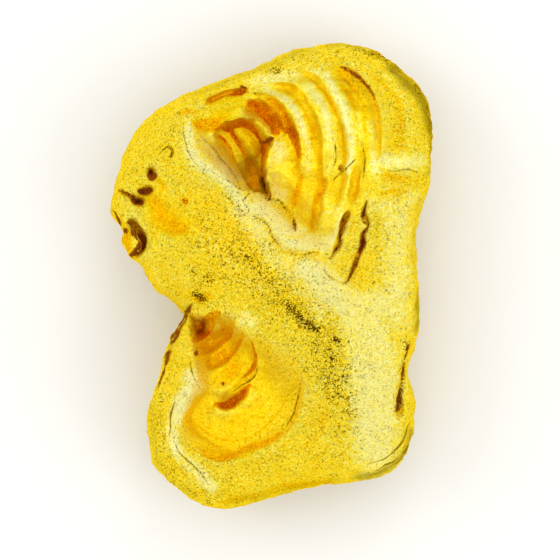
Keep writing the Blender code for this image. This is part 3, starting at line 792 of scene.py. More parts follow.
# %% Paint the black sand
GRIT = (
    ([(-2.8, 3.2), (-0.1, -0.4), (2.6, -3.2), (4.5, -6.2), (6, -9.8), (6.6, -13)], 1.9, 0.9),
    ([(-6.4, 4.6), (-4.2, 1.3), (-0.9, -0.8), (1.7, -2.2)], 1.6, 0.6),
    ([(2.6, -4.9), (5.3, -5.8), (6.6, -6.7)], 1.5, 0.5),
    ([(-2.7, 2.3), (-1.9, 1.3)], 0.6, 1.9),
    ([(1.1, -2.2), (2.2, -3.4), (2.9, -4.5)], 0.6, 2.4),
    ([(2.9, -4.1), (4.2, -4.9)], 0.5, 3.0),
    ([(5.3, -5.3), (6, -6)], 0.4, 2.6),
    ([(4.9, -6.5), (5.6, -7.4)], 0.5, 2.2),
    ([(6.3, -8.6), (6.7, -9.1)], 0.3, 2.6),
    ([(-7.1, -1.6), (-6.1, -2.1)], 0.45, 2.8),
    ([(-7.3, 0.7), (-7, 0.4)], 0.3, 2.4),
    ([(-6, 0.1), (-5.5, -0.5)], 0.4, 1.8),
    (
        [(7.1, 20.8), (9.8, 20.1), (11.7, 18.7), (13.2, 16.9), (14, 15.2), (14.4, 13.3),
         (14.4, 10.4)],
        0.40, 1.2,
    ),
    ([(-10.2, -11.2), (-10.4, -13.4), (-9.8, -16.1), (-7.8, -18.8), (-5.1, -20.2)], 0.9, 0.5),
    ([(12, -5.8), (11.7, -7.6), (11.6, -9.8), (11.5, -12.2)], 0.35, 1.6),
    ([(-0.3, 18.9), (0.8, 18.8)], 0.4, 1.6),
    ([(-4.1, 8.1), (-3.6, 6.8), (-2.8, 5.6)], 0.5, 1.1),
)


def paint_rows(mark, rows):
    """Paints each row softly on the front, under that mark."""
    for points, width, strength in rows:
        near, cover = bead_row(front, points, width)
        front.paint(mark, strength * cover, near)
    print(mark, "rows:", len(rows))


paint_rows("grit", GRIT)

# %% [markdown]
# ## Rubbed places and painted highlights
# What stands up was rubbed by other stones and is pale: the right side, the crests of the ledges, the
# rims of the hollows, and the saddle beside the sand. The same mark is partly a painted highlight: on
# the right side, where the light falls, and on a few walls of the fan that lie in its shade. A noise
# gives this mark a ragged edge later.

# %% Paint the rubbed places and the painted highlights
# Pale places: partly wear and partly painted highlight.
WEAR_AND_HIGHLIGHT = (
    ([(-4.3, 11.7), (-3, 9.7), (-2.4, 8.6)], 0.40, 0.7),
    ([(-3.3, 6.5), (-0.9, 3.1), (1.7, -0.3)], 1.0, 0.65),
    ([(1.7, -0.3), (3.5, -2.2), (4.9, -4.2)], 0.8, 0.45),
    ([(-7.3, 4.1), (-4.6, 1.9), (-1.9, -0.4)], 1.2, 0.25),
    ([(1.2, 19.6), (5.3, 20.3), (8.4, 19.3)], 1.0, 0.15),
    ([(9.6, 18.4), (11.6, 15.8), (12.8, 12.2)], 1.0, 0.25),
    ([(7.2, -2.2), (8.5, -4.9), (9, -8.5), (9.3, -12.1), (9.2, -16.7)], 2.2, 1.0),
    ([(2.6, 1.3), (5.3, -1.3), (7.5, -3.1), (10.7, -2.2)], 1.6, 0.9),
    ([(11.1, 6.8), (11.4, 3.2), (11.1, -1.3), (11.4, -4.9)], 1.6, 0.6),
    (
        [(-7.6, 13.9), (-7.5, 12.2), (-6.9, 10.4), (-5.7, 9.7), (-4.2, 8.6), (-2.8, 6.8),
         (-0.9, 4.1), (1.7, 1.3)],
        0.6, 0.8,
    ),
    ([(-6.2, 12.9), (-4.9, 10.9), (-3.3, 8.5)], 0.6, 0.55),
    (
        [(-7.6, -8.6), (-6.9, -9.8), (-8.1, -10.9), (-8.5, -12.2), (-9.3, -13.7), (-9, -15.3),
         (-7.3, -17.1), (-5.3, -19.3)],
        0.55, 1.2,
    ),
    ([(-1.4, 6.5), (0.3, 4.6), (2.6, 3.2), (4.8, 3.4), (5.8, 5.8)], 1.1, 1.1),
    ([(9.6, 10.4), (11.6, 10.3), (13.7, 10.4)], 0.9, 0.7),
    ([(9, 6.7), (11.6, 6.4), (13.2, 7.3)], 1.0, 0.5),
    ([(0.9, 12), (0.9, 10), (0.7, 7)], 0.8, 0.9),
    ([(-0.9, 17.3), (0.8, 16.6), (2.4, 14.6), (3.2, 12.6), (3.6, 11.3), (3.3, 9.1)], 0.5, 0.7),
    ([(2.9, 17.6), (4.4, 15.8), (5.1, 13.6), (5.7, 11.5), (5.7, 9.4)], 0.55, 0.65),
    ([(4.7, 18.4), (6, 16), (6.7, 13.9), (7.1, 11.3), (6.4, 9.1)], 0.5, 0.65),
    ([(7.7, 14.8), (7.9, 13.3), (8.1, 11.2)], 0.35, 0.5),
    ([(9, 14.2), (9.2, 11.3), (9.2, 9.1)], 0.5, 0.6),
    ([(3, 7.7), (3.4, 6.6), (3.1, 5.6)], 0.5, 0.6),
    ([(-2.4, 17.8), (0.8, 18.2), (4.4, 18.5)], 0.6, 0.6),
    ([(-2.7, -3.5), (-1.8, -4.2)], 0.7, 0.8),
)

paint_rows("wear_and_highlight", WEAR_AND_HIGHLIGHT)

# %% [markdown]
# ## Smooth and shaded places, and shade on the rim
# A few more places are smooth, as the hollows are, and a few corners lie in deeper shade than their
# ledges give them. A darker band of painted shade runs along the rim where it turns down.

# %% Paint smoothness, shade, and the shade on the rim
SMOOTH = (
    ([(-10.8, 6.8), (-10, 5.6), (-9, 4.7), (-7.5, 4.2)], 1.2, 1.2),
    ([(-10, 8.5), (-9.5, 7.2)], 0.7, 1.0),
    ([(-5.5, 13), (-4.2, 10.6), (-2.8, 8.6)], 1.0, 1.0),
    ([(-5.7, 16), (-4.1, 16.6), (-2.6, 16.9)], 0.5, 1.0),
    ([(8.9, 10.4), (11.6, 10.3), (13.4, 10)], 1.0, 0.8),
)
SHADE = (
    ([(-11.3, 7.9), (-10.6, 6.4), (-9.5, 5.1), (-8.2, 4.3), (-7.2, 4.2)], 0.9, 0.85),
    ([(-5.5, -6.1), (-4.5, -7.6), (-3.1, -9.1)], 1.3, 0.85),
    ([(-6, -13.4), (-2.8, -13.9), (-0.3, -12.2)], 1.9, 0.2),
    ([(-5.9, 13.6), (-5, 14.2), (-3.9, 14.8)], 0.6, 0.95),
    ([(-2.8, 13), (-2.1, 12.3), (-1.4, 11.3)], 0.5, 0.7),
    ([(-7.4, -4.4), (-7.5, -6.2)], 0.4, 0.5),
    ([(-6.9, -3.8), (-6.5, -5.8), (-6.2, -7.7)], 0.5, 0.4),
    ([(-6.1, 14), (-4.8, 14.8), (-3.6, 15.1)], 0.8, 0.35),
    ([(9, 20.5), (11.6, 19.3), (13.4, 16.9), (14.4, 14.2), (14.5, 11.3)], 0.35, 0.5),
    ([(-4.5, -20.5), (-2.4, -20.1), (1.2, -19.1), (5.3, -18.5)], 0.3, 0.5),
)
# Painted shade along the rim where it turns down, and along the waist on the left.
RIM_SHADE = (
    ([(4.8, 20.9), (7.2, 20.8), (9.2, 20.2), (10.7, 19.3)], 0.25, 0.45),
    ([(10.7, 19.2), (12, 17.8), (13.1, 16.3), (13.9, 14.6), (14.4, 12.7)], 0.42, 1.2),
    ([(14.4, 12.7), (14.5, 10.6), (14.1, 9.2)], 0.30, 0.8),
    ([(13.5, 7.2), (13.2, 4.6), (13, 2.3), (13, 0.1)], 0.3, 0.35),
    ([(13.3, -1.5), (13.2, -3.1), (12.9, -5)], 0.3, 1.0),
    (
        [(12.6, -14), (12.4, -15.1), (11.7, -16.2), (10.7, -17.2), (9.3, -17.9), (7.6, -18.3)],
        0.38, 1.15,
    ),
    ([(6.2, -18.4), (2.6, -19), (-1, -19.9), (-3.6, -20.4)], 0.3, 0.35),
    ([(-7.6, -2.7), (-8.1, -3.8), (-8.7, -5), (-9.2, -6.3)], 0.30, 1.0),
    ([(-10.8, -10.7), (-11, -13.4), (-10.4, -16.4), (-9, -18.5), (-6.9, -20)], 0.25, 0.3),
    ([(3.5, 20.5), (0.8, 19.7), (-1.9, 18.7), (-5.1, 17.4), (-7.3, 16.5)], 0.25, 0.4),
)

paint_rows("smooth", SMOOTH)
paint_rows("shade", SHADE)
paint_rows("rim_shade", RIM_SHADE)

# %% [markdown]
# ## Painted shade in stripes
# The hollows were never rubbed. Shade is painted in them in stripes: brown on the steepest walls and
# deepest down, and orange along most ledges. The painted shade has a clear edge. Each stripe is given
# as a line and half its width: it is widest halfway along and runs out to nothing at both ends. The
# mark falls slowly across the stripe's edge, and the finish cuts it off at a half, which gives an edge
# finer than the grid.

# %% Stripe tool, and the stripes of painted shade
STRIPE_EDGE = 0.5
# Brown painted shade: each stripe is a line and half its width.
BROWN_SHADE = (
    ([(-8.1, 7.1), (-7.9, 6.8), (-7.6, 6.6)], 0.30),
    ([(-7, -5.8), (-6.3, -4.9), (-5.7, -4), (-4.7, -3.1)], 0.70),
    ([(-2.3, 15.6), (-1.4, 15.3), (-0.7, 14.6), (-0.1, 13.9), (0.6, 12.8)], 0.46),
    ([(-1.4, 15.7), (-0.3, 15.1), (0.5, 14), (1.3, 12.8)], 0.34),
    ([(-0.3, 14.4), (0, 13.5), (0.4, 12.6)], 0.36),
    (
        [(-0.8, 16.1), (0, 15.7), (0.8, 14.8), (1.4, 13.7), (1.9, 12.6), (2.3, 11.6), (2.6, 10.5)],
        0.42,
    ),
    (
        [(-5.6, 13.1), (-4.6, 13.7), (-3.6, 13.9), (-2.7, 13.9), (-1.8, 13.4), (-1.1, 12.5),
         (-0.7, 11.5), (-0.7, 10.4), (-0.9, 9.4)],
        0.40,
    ),
    ([(-4.8, 13.7), (-3.9, 13.3), (-3.2, 12.4), (-2.6, 11.2)], 0.40),
    ([(-5, 12.9), (-4.3, 12.1), (-3.8, 11.2), (-3.4, 10.2)], 0.20),
    ([(-3.9, 16.5), (-3, 16.7), (-2.2, 16.8)], 0.22),
    ([(-2.1, -5.8), (-1.8, -6.7), (-1.6, -7.7), (-2, -8.5), (-2.8, -9.2)], 0.22),
    ([(-5.4, -11.5), (-4.3, -11.6), (-3.3, -11.1), (-2.6, -10.4), (-1.9, -9.6)], 0.42),
    ([(6.5, 5.4), (6.2, 4.5), (5.9, 3.6), (5.6, 2.7), (5.2, 1.8)], 0.17),
    ([(8.3, 4.3), (8.1, 3.2), (7.8, 2)], 0.20),
)
# Orange painted shade, lighter than the brown.
ORANGE_SHADE = (
    ([(5.7, 17.5), (6.6, 16.6), (7.2, 15.7), (7.4, 14.8)], 0.30),
    ([(-2.4, 10.3), (-2, 9.3), (-1.8, 8)], 0.40),
    ([(-3, 12.1), (-2.2, 10.6), (-1.6, 9.1), (-1.3, 7.7)], 0.50),
    ([(-7.2, -1.9), (-6.4, -2.1), (-5.5, -1.6)], 0.38),
    ([(-7.3, 14.3), (-6.1, 13.9), (-5.2, 13.7), (-4.3, 14.1)], 0.60),
    ([(-4.7, -3.8), (-4.5, -4.7), (-4.7, -5.4)], 0.20),
    ([(-6.1, 15.7), (-5.2, 16.1), (-3.9, 16.4), (-2.7, 16.7)], 0.36),
    ([(-6.1, 14.3), (-5, 14.9), (-3.7, 15.3), (-2.3, 15.6)], 0.16),
    ([(-6.6, 15), (-5.2, 15.7), (-3.6, 16), (-1.8, 16.2)], 0.12),
    (
        [(0.2, 16.9), (1.2, 16.6), (2, 15.8), (2.8, 14.7), (3.5, 13.4), (3.8, 12.1), (4.1, 10.6),
         (4.2, 9.2)],
        0.34,
    ),
    (
        [(2.8, 18.5), (3.8, 17.5), (4.8, 16.2), (5.7, 14.9), (6.3, 13.7), (6.4, 12.1), (6.3, 10.3)],
        0.24,
    ),
    ([(5.9, 18.5), (7.1, 17.1), (8, 16), (8.7, 13.9)], 0.22),
    ([(9, 18.5), (10.5, 17.1), (11.4, 15.6), (11.6, 13)], 0.18),
    ([(4.8, 9), (4.4, 8), (3.9, 6.8), (3.7, 5.5), (3.5, 4)], 0.28),
    ([(2.7, 9.4), (2.3, 7.9), (1.8, 6)], 0.32),
    ([(7.9, 9.5), (7.5, 8), (7.1, 6.8)], 0.18),
    ([(0.6, 3.9), (1.9, 3.5), (3.5, 4.1)], 0.25),
    ([(-11.4, 6.8), (-10.8, 5.4), (-9.9, 4.3), (-8.8, 3.6), (-7.7, 3.7)], 0.15),
    ([(-10, 6.2), (-9.1, 5.4), (-7.9, 5.3)], 0.12),
    ([(-10.5, 9.2), (-9.9, 8.4), (-9.9, 7.6)], 0.20),
    ([(-8, 9), (-7.6, 8.6)], 0.12),
    ([(-3.8, -4), (-4.2, -5.5), (-4.9, -6.4), (-5.9, -6.9), (-7, -6.8)], 0.34),
    ([(-2.7, -5.1), (-3.5, -6.6), (-4.4, -7.6), (-5.4, -8.2)], 0.24),
    ([(-2.8, -7.8), (-3.5, -8.6), (-4.6, -9.6)], 0.18),
    (
        [(-6.8, -15.9), (-5.4, -16.3), (-4.1, -16.3), (-2.8, -15.9), (-1.6, -15.3), (-0.3, -14.8),
         (0.9, -13.9)],
        0.48,
    ),
    ([(-12.9, 4.7), (-13.2, 3.4), (-13, 2.2)], 0.45),
    (
        [(-7.5, -12.1), (-6.6, -13.5), (-5, -14.6), (-2.8, -14.7), (-0.9, -13.7), (0.9, -11.6),
         (1.8, -9.9)],
        0.11,
    ),
    ([(-5.2, -12.6), (-3.6, -13.1), (-1.9, -12.8), (-0.7, -11.9)], 0.09),
    ([(-6.8, -14.8), (-5.2, -15.6), (-3, -15.6), (-1, -14.8)], 0.10),
    ([(9.2, 7.7), (10.5, 7.7), (11.7, 8)], 0.14),
    ([(10, 9.4), (10.8, 9.1), (11.7, 8.8)], 0.12),
)


def stripe(mark, points, half_width):
    """Paints a stripe, widest halfway along, whose edge is where the mark passes a half."""
    line = smooth_line(points)
    near = front.around(line, half_width + STRIPE_EDGE)
    distance, _, along = beside(front, line, near)
    reach = half_width * np.sqrt(4 * along * (1 - along))
    front.paint(mark, np.clip(0.5 + (reach - distance) / STRIPE_EDGE, 0, 1), near)


for kind, rows in {"brown": BROWN_SHADE, "orange": ORANGE_SHADE}.items():
    for points, half_width in rows:
        stripe(kind, points, half_width)
print("painted_shade_stripes:", len(BROWN_SHADE), "brown and", len(ORANGE_SHADE), "orange")

# %% [markdown]
# ## Crust and cracks
# A dark crust fills the pits and crevices, and fine cracks run along the folds and the rims. Both are
# stripes as well, and the cracks are all of one width.

# %% Paint the crust and the cracks
CRACK_HALF_WIDTH = 0.07
CRUST = (
    ([(-11.2, 9.6), (-10.9, 9.2), (-10.6, 8.7)], 0.50),
    ([(-12.2, 7.7), (-10.7, 7.8)], 0.36),
    ([(-12.8, 6.9), (-11.6, 6.7)], 0.36),
    ([(-13.8, 7.9), (-13.1, 7.5), (-12.2, 6.9)], 0.26),
    ([(-9.5, 11.8), (-9, 11.3), (-9.2, 10.6)], 0.10),
    ([(-13.2, 5), (-12.6, 4.1), (-11.9, 3.4), (-12, 2.6), (-12.9, 2)], 0.42),
    ([(-14.3, 6.1), (-14, 5.5), (-13.7, 4.6)], 0.13),
    ([(-13.5, 4.4), (-13.2, 3.9)], 0.13),
    ([(-0.9, 9.2), (-0.6, 8.3), (-0.2, 7)], 0.27),
    ([(-0.7, 12.1), (0.1, 12.6)], 0.24),
    ([(6.7, 5.5), (6.3, 4.5), (6.1, 3.6), (5.8, 2.7), (5.4, 1.9), (4.9, 1.6)], 0.08),
    ([(8.5, 6.8), (8.2, 5.8), (8.1, 5.1), (8.6, 4.4)], 0.11),
    ([(8.4, 4), (8.1, 3.1), (7.9, 2.2)], 0.13),
    ([(7.9, 2.2), (7.4, 1.1), (7.1, 0.3), (6.6, -0.6)], 0.09),
    ([(1.9, 5.3), (2.1, 4)], 0.15),
    ([(12.2, -5.8), (12, -6.7), (11.7, -7.5)], 0.18),
    ([(11.7, -7.6), (11.7, -8.5), (11.6, -9.4)], 0.13),
    ([(11.5, -9.9), (11.4, -11.1), (11.5, -12.2)], 0.17),
    ([(-1.8, 16.6), (-0.9, 16.6)], 0.18),
    ([(-3, 17.4), (-2.4, 16.9)], 0.14),
    ([(6.1, 10.2), (6.1, 9.5)], 0.15),
    ([(6, 19), (7.2, 18.4), (8.5, 17.3), (9.3, 15.9)], 0.13),
    # Along the waist on the left this crust is also painted shade, on the wall that turns away there.
    ([(-7.3, -2.4), (-7.9, -3.6), (-8.5, -5), (-9, -6.2)], 0.24),
    ([(-9, -6.4), (-9.7, -8.2), (-10.4, -10.2)], 0.14),
    ([(-6.7, -6.5), (-6.7, -7)], 0.18),
    ([(-4.5, -9.4), (-4.4, -9.9)], 0.15),
)
CRACKS = (
    [(-1.9, 7.7), (-2.6, 6.8), (-2.2, 6.1), (-2.1, 5.6)],
    [(5.4, 12.7), (5.8, 10.9), (5.4, 9.4)],
    [(8, 12.2), (8.3, 10.4), (8.1, 8.5)],
    [(10, 9.7), (11, 9.5), (12.1, 9.7), (13.2, 9.4)],
    [(-8, 14.3), (-8.1, 13.1), (-7.7, 11.6), (-6.9, 10.2), (-5.9, 9.8)],
    [(-5.9, 9.8), (-5.2, 9.4), (-4.2, 8.8), (-3, 8), (-1.9, 7.7)],
    [(-6.4, 13), (-5.1, 11.2), (-3.7, 9.4), (-2.8, 8.1)],
    [(-1.9, 7.7), (-0.9, 7.5), (-0.3, 7), (0.6, 7), (1, 6.6), (1.5, 5.8), (1.9, 5.6)],
    [(-2.1, 5.6), (-1, 5), (-0.3, 4.3), (0, 3.4), (0.6, 2.7), (1, 2.2)],
    [(1, 2.2), (2.4, 1.9), (3.5, 2.2), (4.2, 2.2), (4.9, 1.7)],
    [(7.6, 10.7), (6.8, 10), (6, 9.3), (5.4, 8.5)],
    [(4.5, 0.8), (4.9, 0), (5.6, -0.4), (6.7, -0.7)],
    [(-10.2, 11.1), (-9.8, 11.5), (-9.3, 11.8), (-8.9, 11.2), (-9.2, 10.4)],
    [(-7.6, -7.1), (-7.3, -8.3), (-7, -9.2), (-6.5, -10.1)],
    [(-1.4, -8.1), (-1.6, -8.9), (-2.3, -9.5), (-3.6, -10.3)],
    [(2.6, -9.7), (2.3, -10.9), (1.9, -12.2), (1.1, -13.6)],
    [(13.2, -13.3), (12.4, -15.1), (11.2, -16.5), (9, -17.6)],
    [(12.6, -13), (11.7, -14.8), (10.6, -16), (8.5, -16.8)],
    [(13.7, -11.2), (13.5, -13.3), (12.5, -15.8), (10.8, -17.3)],
    [(-9.1, -14.8), (-8.6, -15.7), (-7.7, -16.6), (-6.5, -17.8), (-5.7, -18.9)],
    [(-8.6, -11.2), (-9.1, -12.5), (-9.6, -14.4)],
)

for points, half_width in CRUST:
    stripe("crust", points, half_width)
for points in CRACKS:
    stripe("crack", points, CRACK_HALF_WIDTH)
print("crust:", len(CRUST), "stripes, and cracks:", len(CRACKS))

# %% [markdown]
# ## Marks on the mesh
# The marks of both skins are joined and stored on the mesh as attributes, one number a point, which a
# finish can read. What is painted straight down gets smeared on the steep outer sides, so the marks
# that this would spoil fade out there. An image could hold the marks too, but it would have to be as
# fine as the finest crack.

# %% Store the marks
STEEPEST = 0.12  # how far upwards a normal has to point before these marks show
PAINTED_FLAT = ("grit", "rim_shade", "crust", "crack", "brown", "orange")

level = ease((read_points("normal")[: len(front_x), 2] - STEEPEST) / STEEPEST)
for name in front.marks:
    if name in PAINTED_FLAT:
        front.marks[name] *= level
    values = np.concatenate([front.marks[name], back.marks[name][inner]])
    mesh.attributes.new(name, "FLOAT", "POINT").data.foreach_set("value", values.astype(np.float32))
print("marks:", ", ".join(front.marks))

# %% [markdown]
# ## Writing a finish as sums
# A finish is a web of nodes, and most of them do plain arithmetic. One small class wraps a socket, so
# that a sum written in Python adds the Math nodes itself. Every other node comes from one method, which
# takes the node's type, its settings and what goes into its sockets.

# %% The finish maker
def pick(sockets, key):
    """The socket with that number, or the first one in use with that name."""
    if isinstance(key, int):
        return sockets[key]
    return next(socket for socket in sockets if socket.enabled and socket.name == key)


class Wire:
    """A node's output that can be used in sums."""

    def __init__(self, finish, socket):
        self.finish, self.socket = finish, socket

    def maths(self, operation, *values):
        return self.finish.node("Math", {"operation": operation}, dict(enumerate(values)))

    def __add__(self, other):
        return self.maths("ADD", self, other)

    def __sub__(self, other):
        return self.maths("SUBTRACT", self, other)

    def __rsub__(self, other):
        return self.maths("SUBTRACT", other, self)

    def __mul__(self, other):
        return self.maths("MULTIPLY", self, other)

    __radd__, __rmul__ = __add__, __mul__

    def __abs__(self):
        return self.maths("ABSOLUTE", self)

    def also(self, output):
        """Another output of the same node."""
        return Wire(self.finish, pick(self.socket.node.outputs, output))

    def or_more(self, other):
        """The larger of the two."""
        return self.maths("MAXIMUM", self, other)

    def held(self):
        """The same value, kept from 0 to 1."""
        return self.finish.node("Clamp", {}, {"Value": self})


class Finish:
    """The nodes of a material or a world, made one at a time."""

    def __init__(self, block):
        self.block = block
        block.use_nodes = True
        self.nodes, self.links = block.node_tree.nodes, block.node_tree.links
        self.nodes.clear()

    def node(self, kind, settings, sockets, output=0):
        """Makes a node: its settings first, then its sockets' values or links; gives an output."""
        made = self.nodes.new("ShaderNode" + kind)
        for name, value in settings.items():
            if name == "stops":
                for number, (place, colour) in enumerate(value):
                    stops = made.color_ramp.elements
                    stop = stops[number] if number < len(stops) else stops.new(place)
                    stop.position, stop.color = place, (*colour, 1)
            else:
                setattr(made, name, value)
        for key, value in sockets.items():
            if isinstance(value, Wire):
                self.links.new(value.socket, pick(made.inputs, key))
            else:
                pick(made.inputs, key).default_value = value
        return Wire(self, pick(made.outputs, output)) if made.outputs else None


gold = Finish(bpy.data.materials.new("native_gold"))
print("finish:", gold.block.name)

# %% [markdown]
# ## Grain
# Native gold is softly granular. The grains are less than a fifth of a millimetre across, with a finer
# tooth on top, and the colour drifts in much broader blotches. Dirt gathers in patches a millimetre or
# so wide. Inside them it lies in curls, a noise whose place is itself pushed about, which draws out its
# spots. Frays give other things ragged edges. Images would stretch on the steep sides. Noise textures
# read the place on the object itself, in millimetres, so nothing stretches and there are no seams.

# %% Grain, tooth, blotches, patches, curls and frays
def noise(scale, detail, roughness=0.5, distortion=0.0):
    """Noise from 0 to 1 with that many features per millimetre."""
    sockets = {"Vector": place, "Scale": scale, "Detail": detail, "Roughness": roughness}
    return gold.node("TexNoise", {}, sockets | {"Distortion": distortion})


def mark(name):
    return gold.node("Attribute", {"attribute_name": name}, {}, "Fac")


object_place = gold.node("TexCoord", {}, {}, "Object")
place = gold.node("VectorMath", {"operation": "SCALE"}, {0: object_place, "Scale": 1 / MM})
grain = noise(8.0, 3.0, 0.7)
tooth = noise(14.0, 2.0)
blotches = noise(0.45, 3.0)
patches = noise(0.9, 3.0)
curls = noise(6.0, 1.0, 0.5, 1.2)
frays = noise(2.5, 4.0, 0.7)
print("grain:", len(gold.nodes), "nodes")

# %% [markdown]
# ## Rubbed places and highlights, dirt and creases
# Where the nugget was rubbed, and where a highlight is painted, it is pale, with ragged edges, so the
# frays are added to the mark before it is cut off. Dirt is left as short dark strokes where the curls
# rise above a level. The level is lower in a patch of dirt or near grit, and higher where the skin is
# pale. Inside a hollow more than half of the roughness is gone. Creases are thin lines where one more
# noise is close to a half, broken up by the frays. Drawing each one by hand would take thousands of
# lines.

# %% Rubbed places and highlights, dirt and creases
PALE_SLOPE, PALE_RAGGED, PALE_LEVEL = 1.8, 1.8, 0.10
DIRT_LEVEL = 0.53
CREASE_FINENESS = 35
CREASE_LEVEL = 0.47
SHARPNESS = 8  # how quickly a cover grows once it is past its level

rough_skin, grit = 1 - 0.60 * mark("smooth"), mark("grit")
# Pale where the skin is rubbed, and where a highlight is painted.
pale = (PALE_SLOPE * (mark("wear_and_highlight") + PALE_RAGGED * (frays - 0.5) - PALE_LEVEL)).held()
dirt_level = DIRT_LEVEL - 0.20 * (patches - 0.5) - 0.04 * grit + 0.05 * pale
dirt = rough_skin * (SHARPNESS * (curls - dirt_level)).held() * (0.65 + 0.3 * grit).held()
crease_lines = (1 - CREASE_FINENESS * abs(noise(1.4, 4.0, 0.55, 0.8) - 0.5)).held()
creases = crease_lines * (SHARPNESS * (frays - CREASE_LEVEL)).held()
print("with dirt and creases:", len(gold.nodes), "nodes")

# %% [markdown]
# ## Colour
# One number, the tone, gathers everything that makes the gold paler or deeper. Rubbed places, which
# also carry painted highlights, raise it, and so do the crests as a painted highlight. Painted shade in
# stripes, on risers, in corners and in folds lowers it, and so does dirt, and the grain and the
# blotches make it uneven. The brown and orange painted shade is deepest along the middle of its
# stripes. A ramp then turns the tone into a colour: red-brown, orange, the full yellow of the open
# surface, and pale yellow.
# Mixing colours one over the other would do too, but here every cause adds to the others.

# %% From tone to colour
PLAIN_TONE = 0.63
SHADE_DEPTH = 0.33
EDGE_SLOPE = 6


def crisp(name, ragged):
    """A crisp mark, cut off at a half, after the grain has nibbled at its edge that much."""
    return (EDGE_SLOPE * (mark(name) - 0.5 + ragged * (frays + grain - 1)) + 0.5).held()


fold, shade, crest = mark("fold"), mark("shade"), mark("crest")
brown = crisp("brown", 0.25) * (0.27 + 0.17 * mark("brown"))
orange = crisp("orange", 0.6) * (0.08 + 0.16 * mark("orange"))
# Painted shade: the brown and orange stripes, and the shade of risers, grooves, pits and corners.
painted_shade = brown.or_more(orange).or_more(SHADE_DEPTH * shade)
# Painted highlight on the crests and painted shade in the folds; the pale places are wear and highlight.
tone = PLAIN_TONE + 0.10 * crest - 0.05 * fold - painted_shade + 0.31 * pale * (1 - 0.5 * fold) - 0.10 * dirt
tone = tone + (0.7 + 1.1 * rough_skin) * (grain - 0.5) + 0.20 * (blotches - 0.5)
GOLD_TONES = (
    (0.0, (0.40, 0.05, 0.0)),
    (0.15, (0.74, 0.165, 0.0)),
    (0.30, (0.92, 0.40, 0.001)),
    (0.45, (0.98, 0.65, 0.002)),
    (0.58, (1.0, 0.76, 0.006)),
    (0.72, (1.0, 0.84, 0.04)),
    (0.86, (1.0, 0.91, 0.14)),
    (1.0, (1.0, 0.96, 0.42)),
)
gold_colour = gold.node("ValToRGB", {"stops": GOLD_TONES}, {"Fac": tone.held()})
print("tones:", len(GOLD_TONES), "from nodes:", len(gold.nodes))

# %% [markdown]
# ## Grit, cracks and crust
# Grit is of two sizes. The larger grains are roundish, so each one fills the middle of a Voronoi cell,
# and a cell holds one only where its own random shade is below a chance. Sand is finer: it lies where
# the curls rise above a level. The grit mark raises the chance and lowers the level, so the specks
# crowd together in the band and thin out beside it. Cracks and crust cover what their marks say, with
# ragged edges.

# %% Grit, cracks and crust
CELLS_PER_MM = 3.8
GRIT_SIZE = 0.45  # how far a grain reaches from the middle of its cell, as a share of a cell
CHANCE_SLOPE = 20
SAND_LEVEL = 0.68
SAND_SLOPE = 14

cells = gold.node("TexVoronoi", {}, {"Vector": place, "Scale": CELLS_PER_MM}, "Distance")
chance = rough_skin * (0.08 + 0.06 * grit + 0.20 * (patches - 0.5))
grit_shape = (SHARPNESS * (GRIT_SIZE - cells - 0.4 * (tooth - 0.5))).held()
large_grit = grit_shape * (CHANCE_SLOPE * (chance - cells.also("Color"))).held()
above_level = curls - SAND_LEVEL + 0.11 * grit + 0.15 * (patches - 0.5) - 0.02 * pale
sand = rough_skin * (SAND_SLOPE * above_level).held()
crack, crust = crisp("crack", 0.45), crisp("crust", 0.8)
specks = (large_grit.or_more(sand) * (0.65 + 0.35 * grit).held()).or_more(0.6 * crack)
print("with grit, cracks and crust:", len(gold.nodes), "nodes")

# %% [markdown]
# ## The finished gold
# The layers go over each other as they do on the nugget. First the gold is darkened by painted shade
# along the rim and, a little, inside the hollows, then come dirt, creases and cracks, then crust, and
# the grit on top. Grit and crust aren't metal, so both lower the metallic value, and they are duller.
# A smooth metal turns white at a glancing angle. On a rough one light goes from gold to gold before it
# leaves and stays yellow, so the tint for that angle has no blue. The grain stands up a little, and
# dirt and grit lie in small pits, as a bump: real relief that fine would need over a million faces.

# %% The layers and the finished material
DIRT_COLOUR = (0.46, 0.29, 0.0, 1)
GRIT_COLOUR = (0.10, 0.035, 0.001, 1)
CRUST_COLOUR = (0.28, 0.07, 0.005, 1)
GLANCING_TINT = (1.0, 0.80, 0.0, 1.0)
BUMP_HEIGHT = 0.20 * MM
DULLNESS = 0.50
# How much the painted shade on the rim darkens the gold.
DIMMED_BY_RIM_SHADE = 0.45


def covered(colour, over, cover):
    """The colour, with another over it where the cover is."""
    settings = {"data_type": "RGBA"}
    return gold.node("Mix", settings, {"Factor": cover, "A": colour, "B": over}, "Result")


# Painted shade: darker along the rim, and a little darker in the smooth places inside the hollows.
dimmed = {0: gold_colour, "Scale": 1 - 0.15 * mark("smooth") - DIMMED_BY_RIM_SHADE * mark("rim_shade")}
gold_colour = gold.node("VectorMath", {"operation": "SCALE"}, dimmed)
streaks = (0.25 * rough_skin + 0.45 * pale) * creases
colour = covered(gold_colour, DIRT_COLOUR, dirt.or_more(streaks).or_more(crack))
colour = covered(covered(colour, CRUST_COLOUR, crust), GRIT_COLOUR, specks)
clean = (1 - specks - 0.85 * crust).held()
dull = DULLNESS + 0.25 * (tooth - 0.5) + 0.30 * (1 - clean) - 0.06 * crest
relief = rough_skin * (grain - 0.5 + 0.35 * (tooth - 0.5)) - 0.35 * dirt - 0.4 * specks
bump = gold.node("Bump", {}, {"Strength": 1.0, "Distance": BUMP_HEIGHT, "Height": relief}, "Normal")
shader = {"Base Color": colour, "Metallic": clean, "Roughness": dull.held(), "Normal": bump}
shader |= {"Specular IOR Level": 0.0, "Specular Tint": GLANCING_TINT}
surface = gold.node("BsdfPrincipled", {}, shader)
gold.node("OutputMaterial", {"is_active_output": True}, {"Surface": surface})
print("native gold:", len(gold.nodes), "nodes")

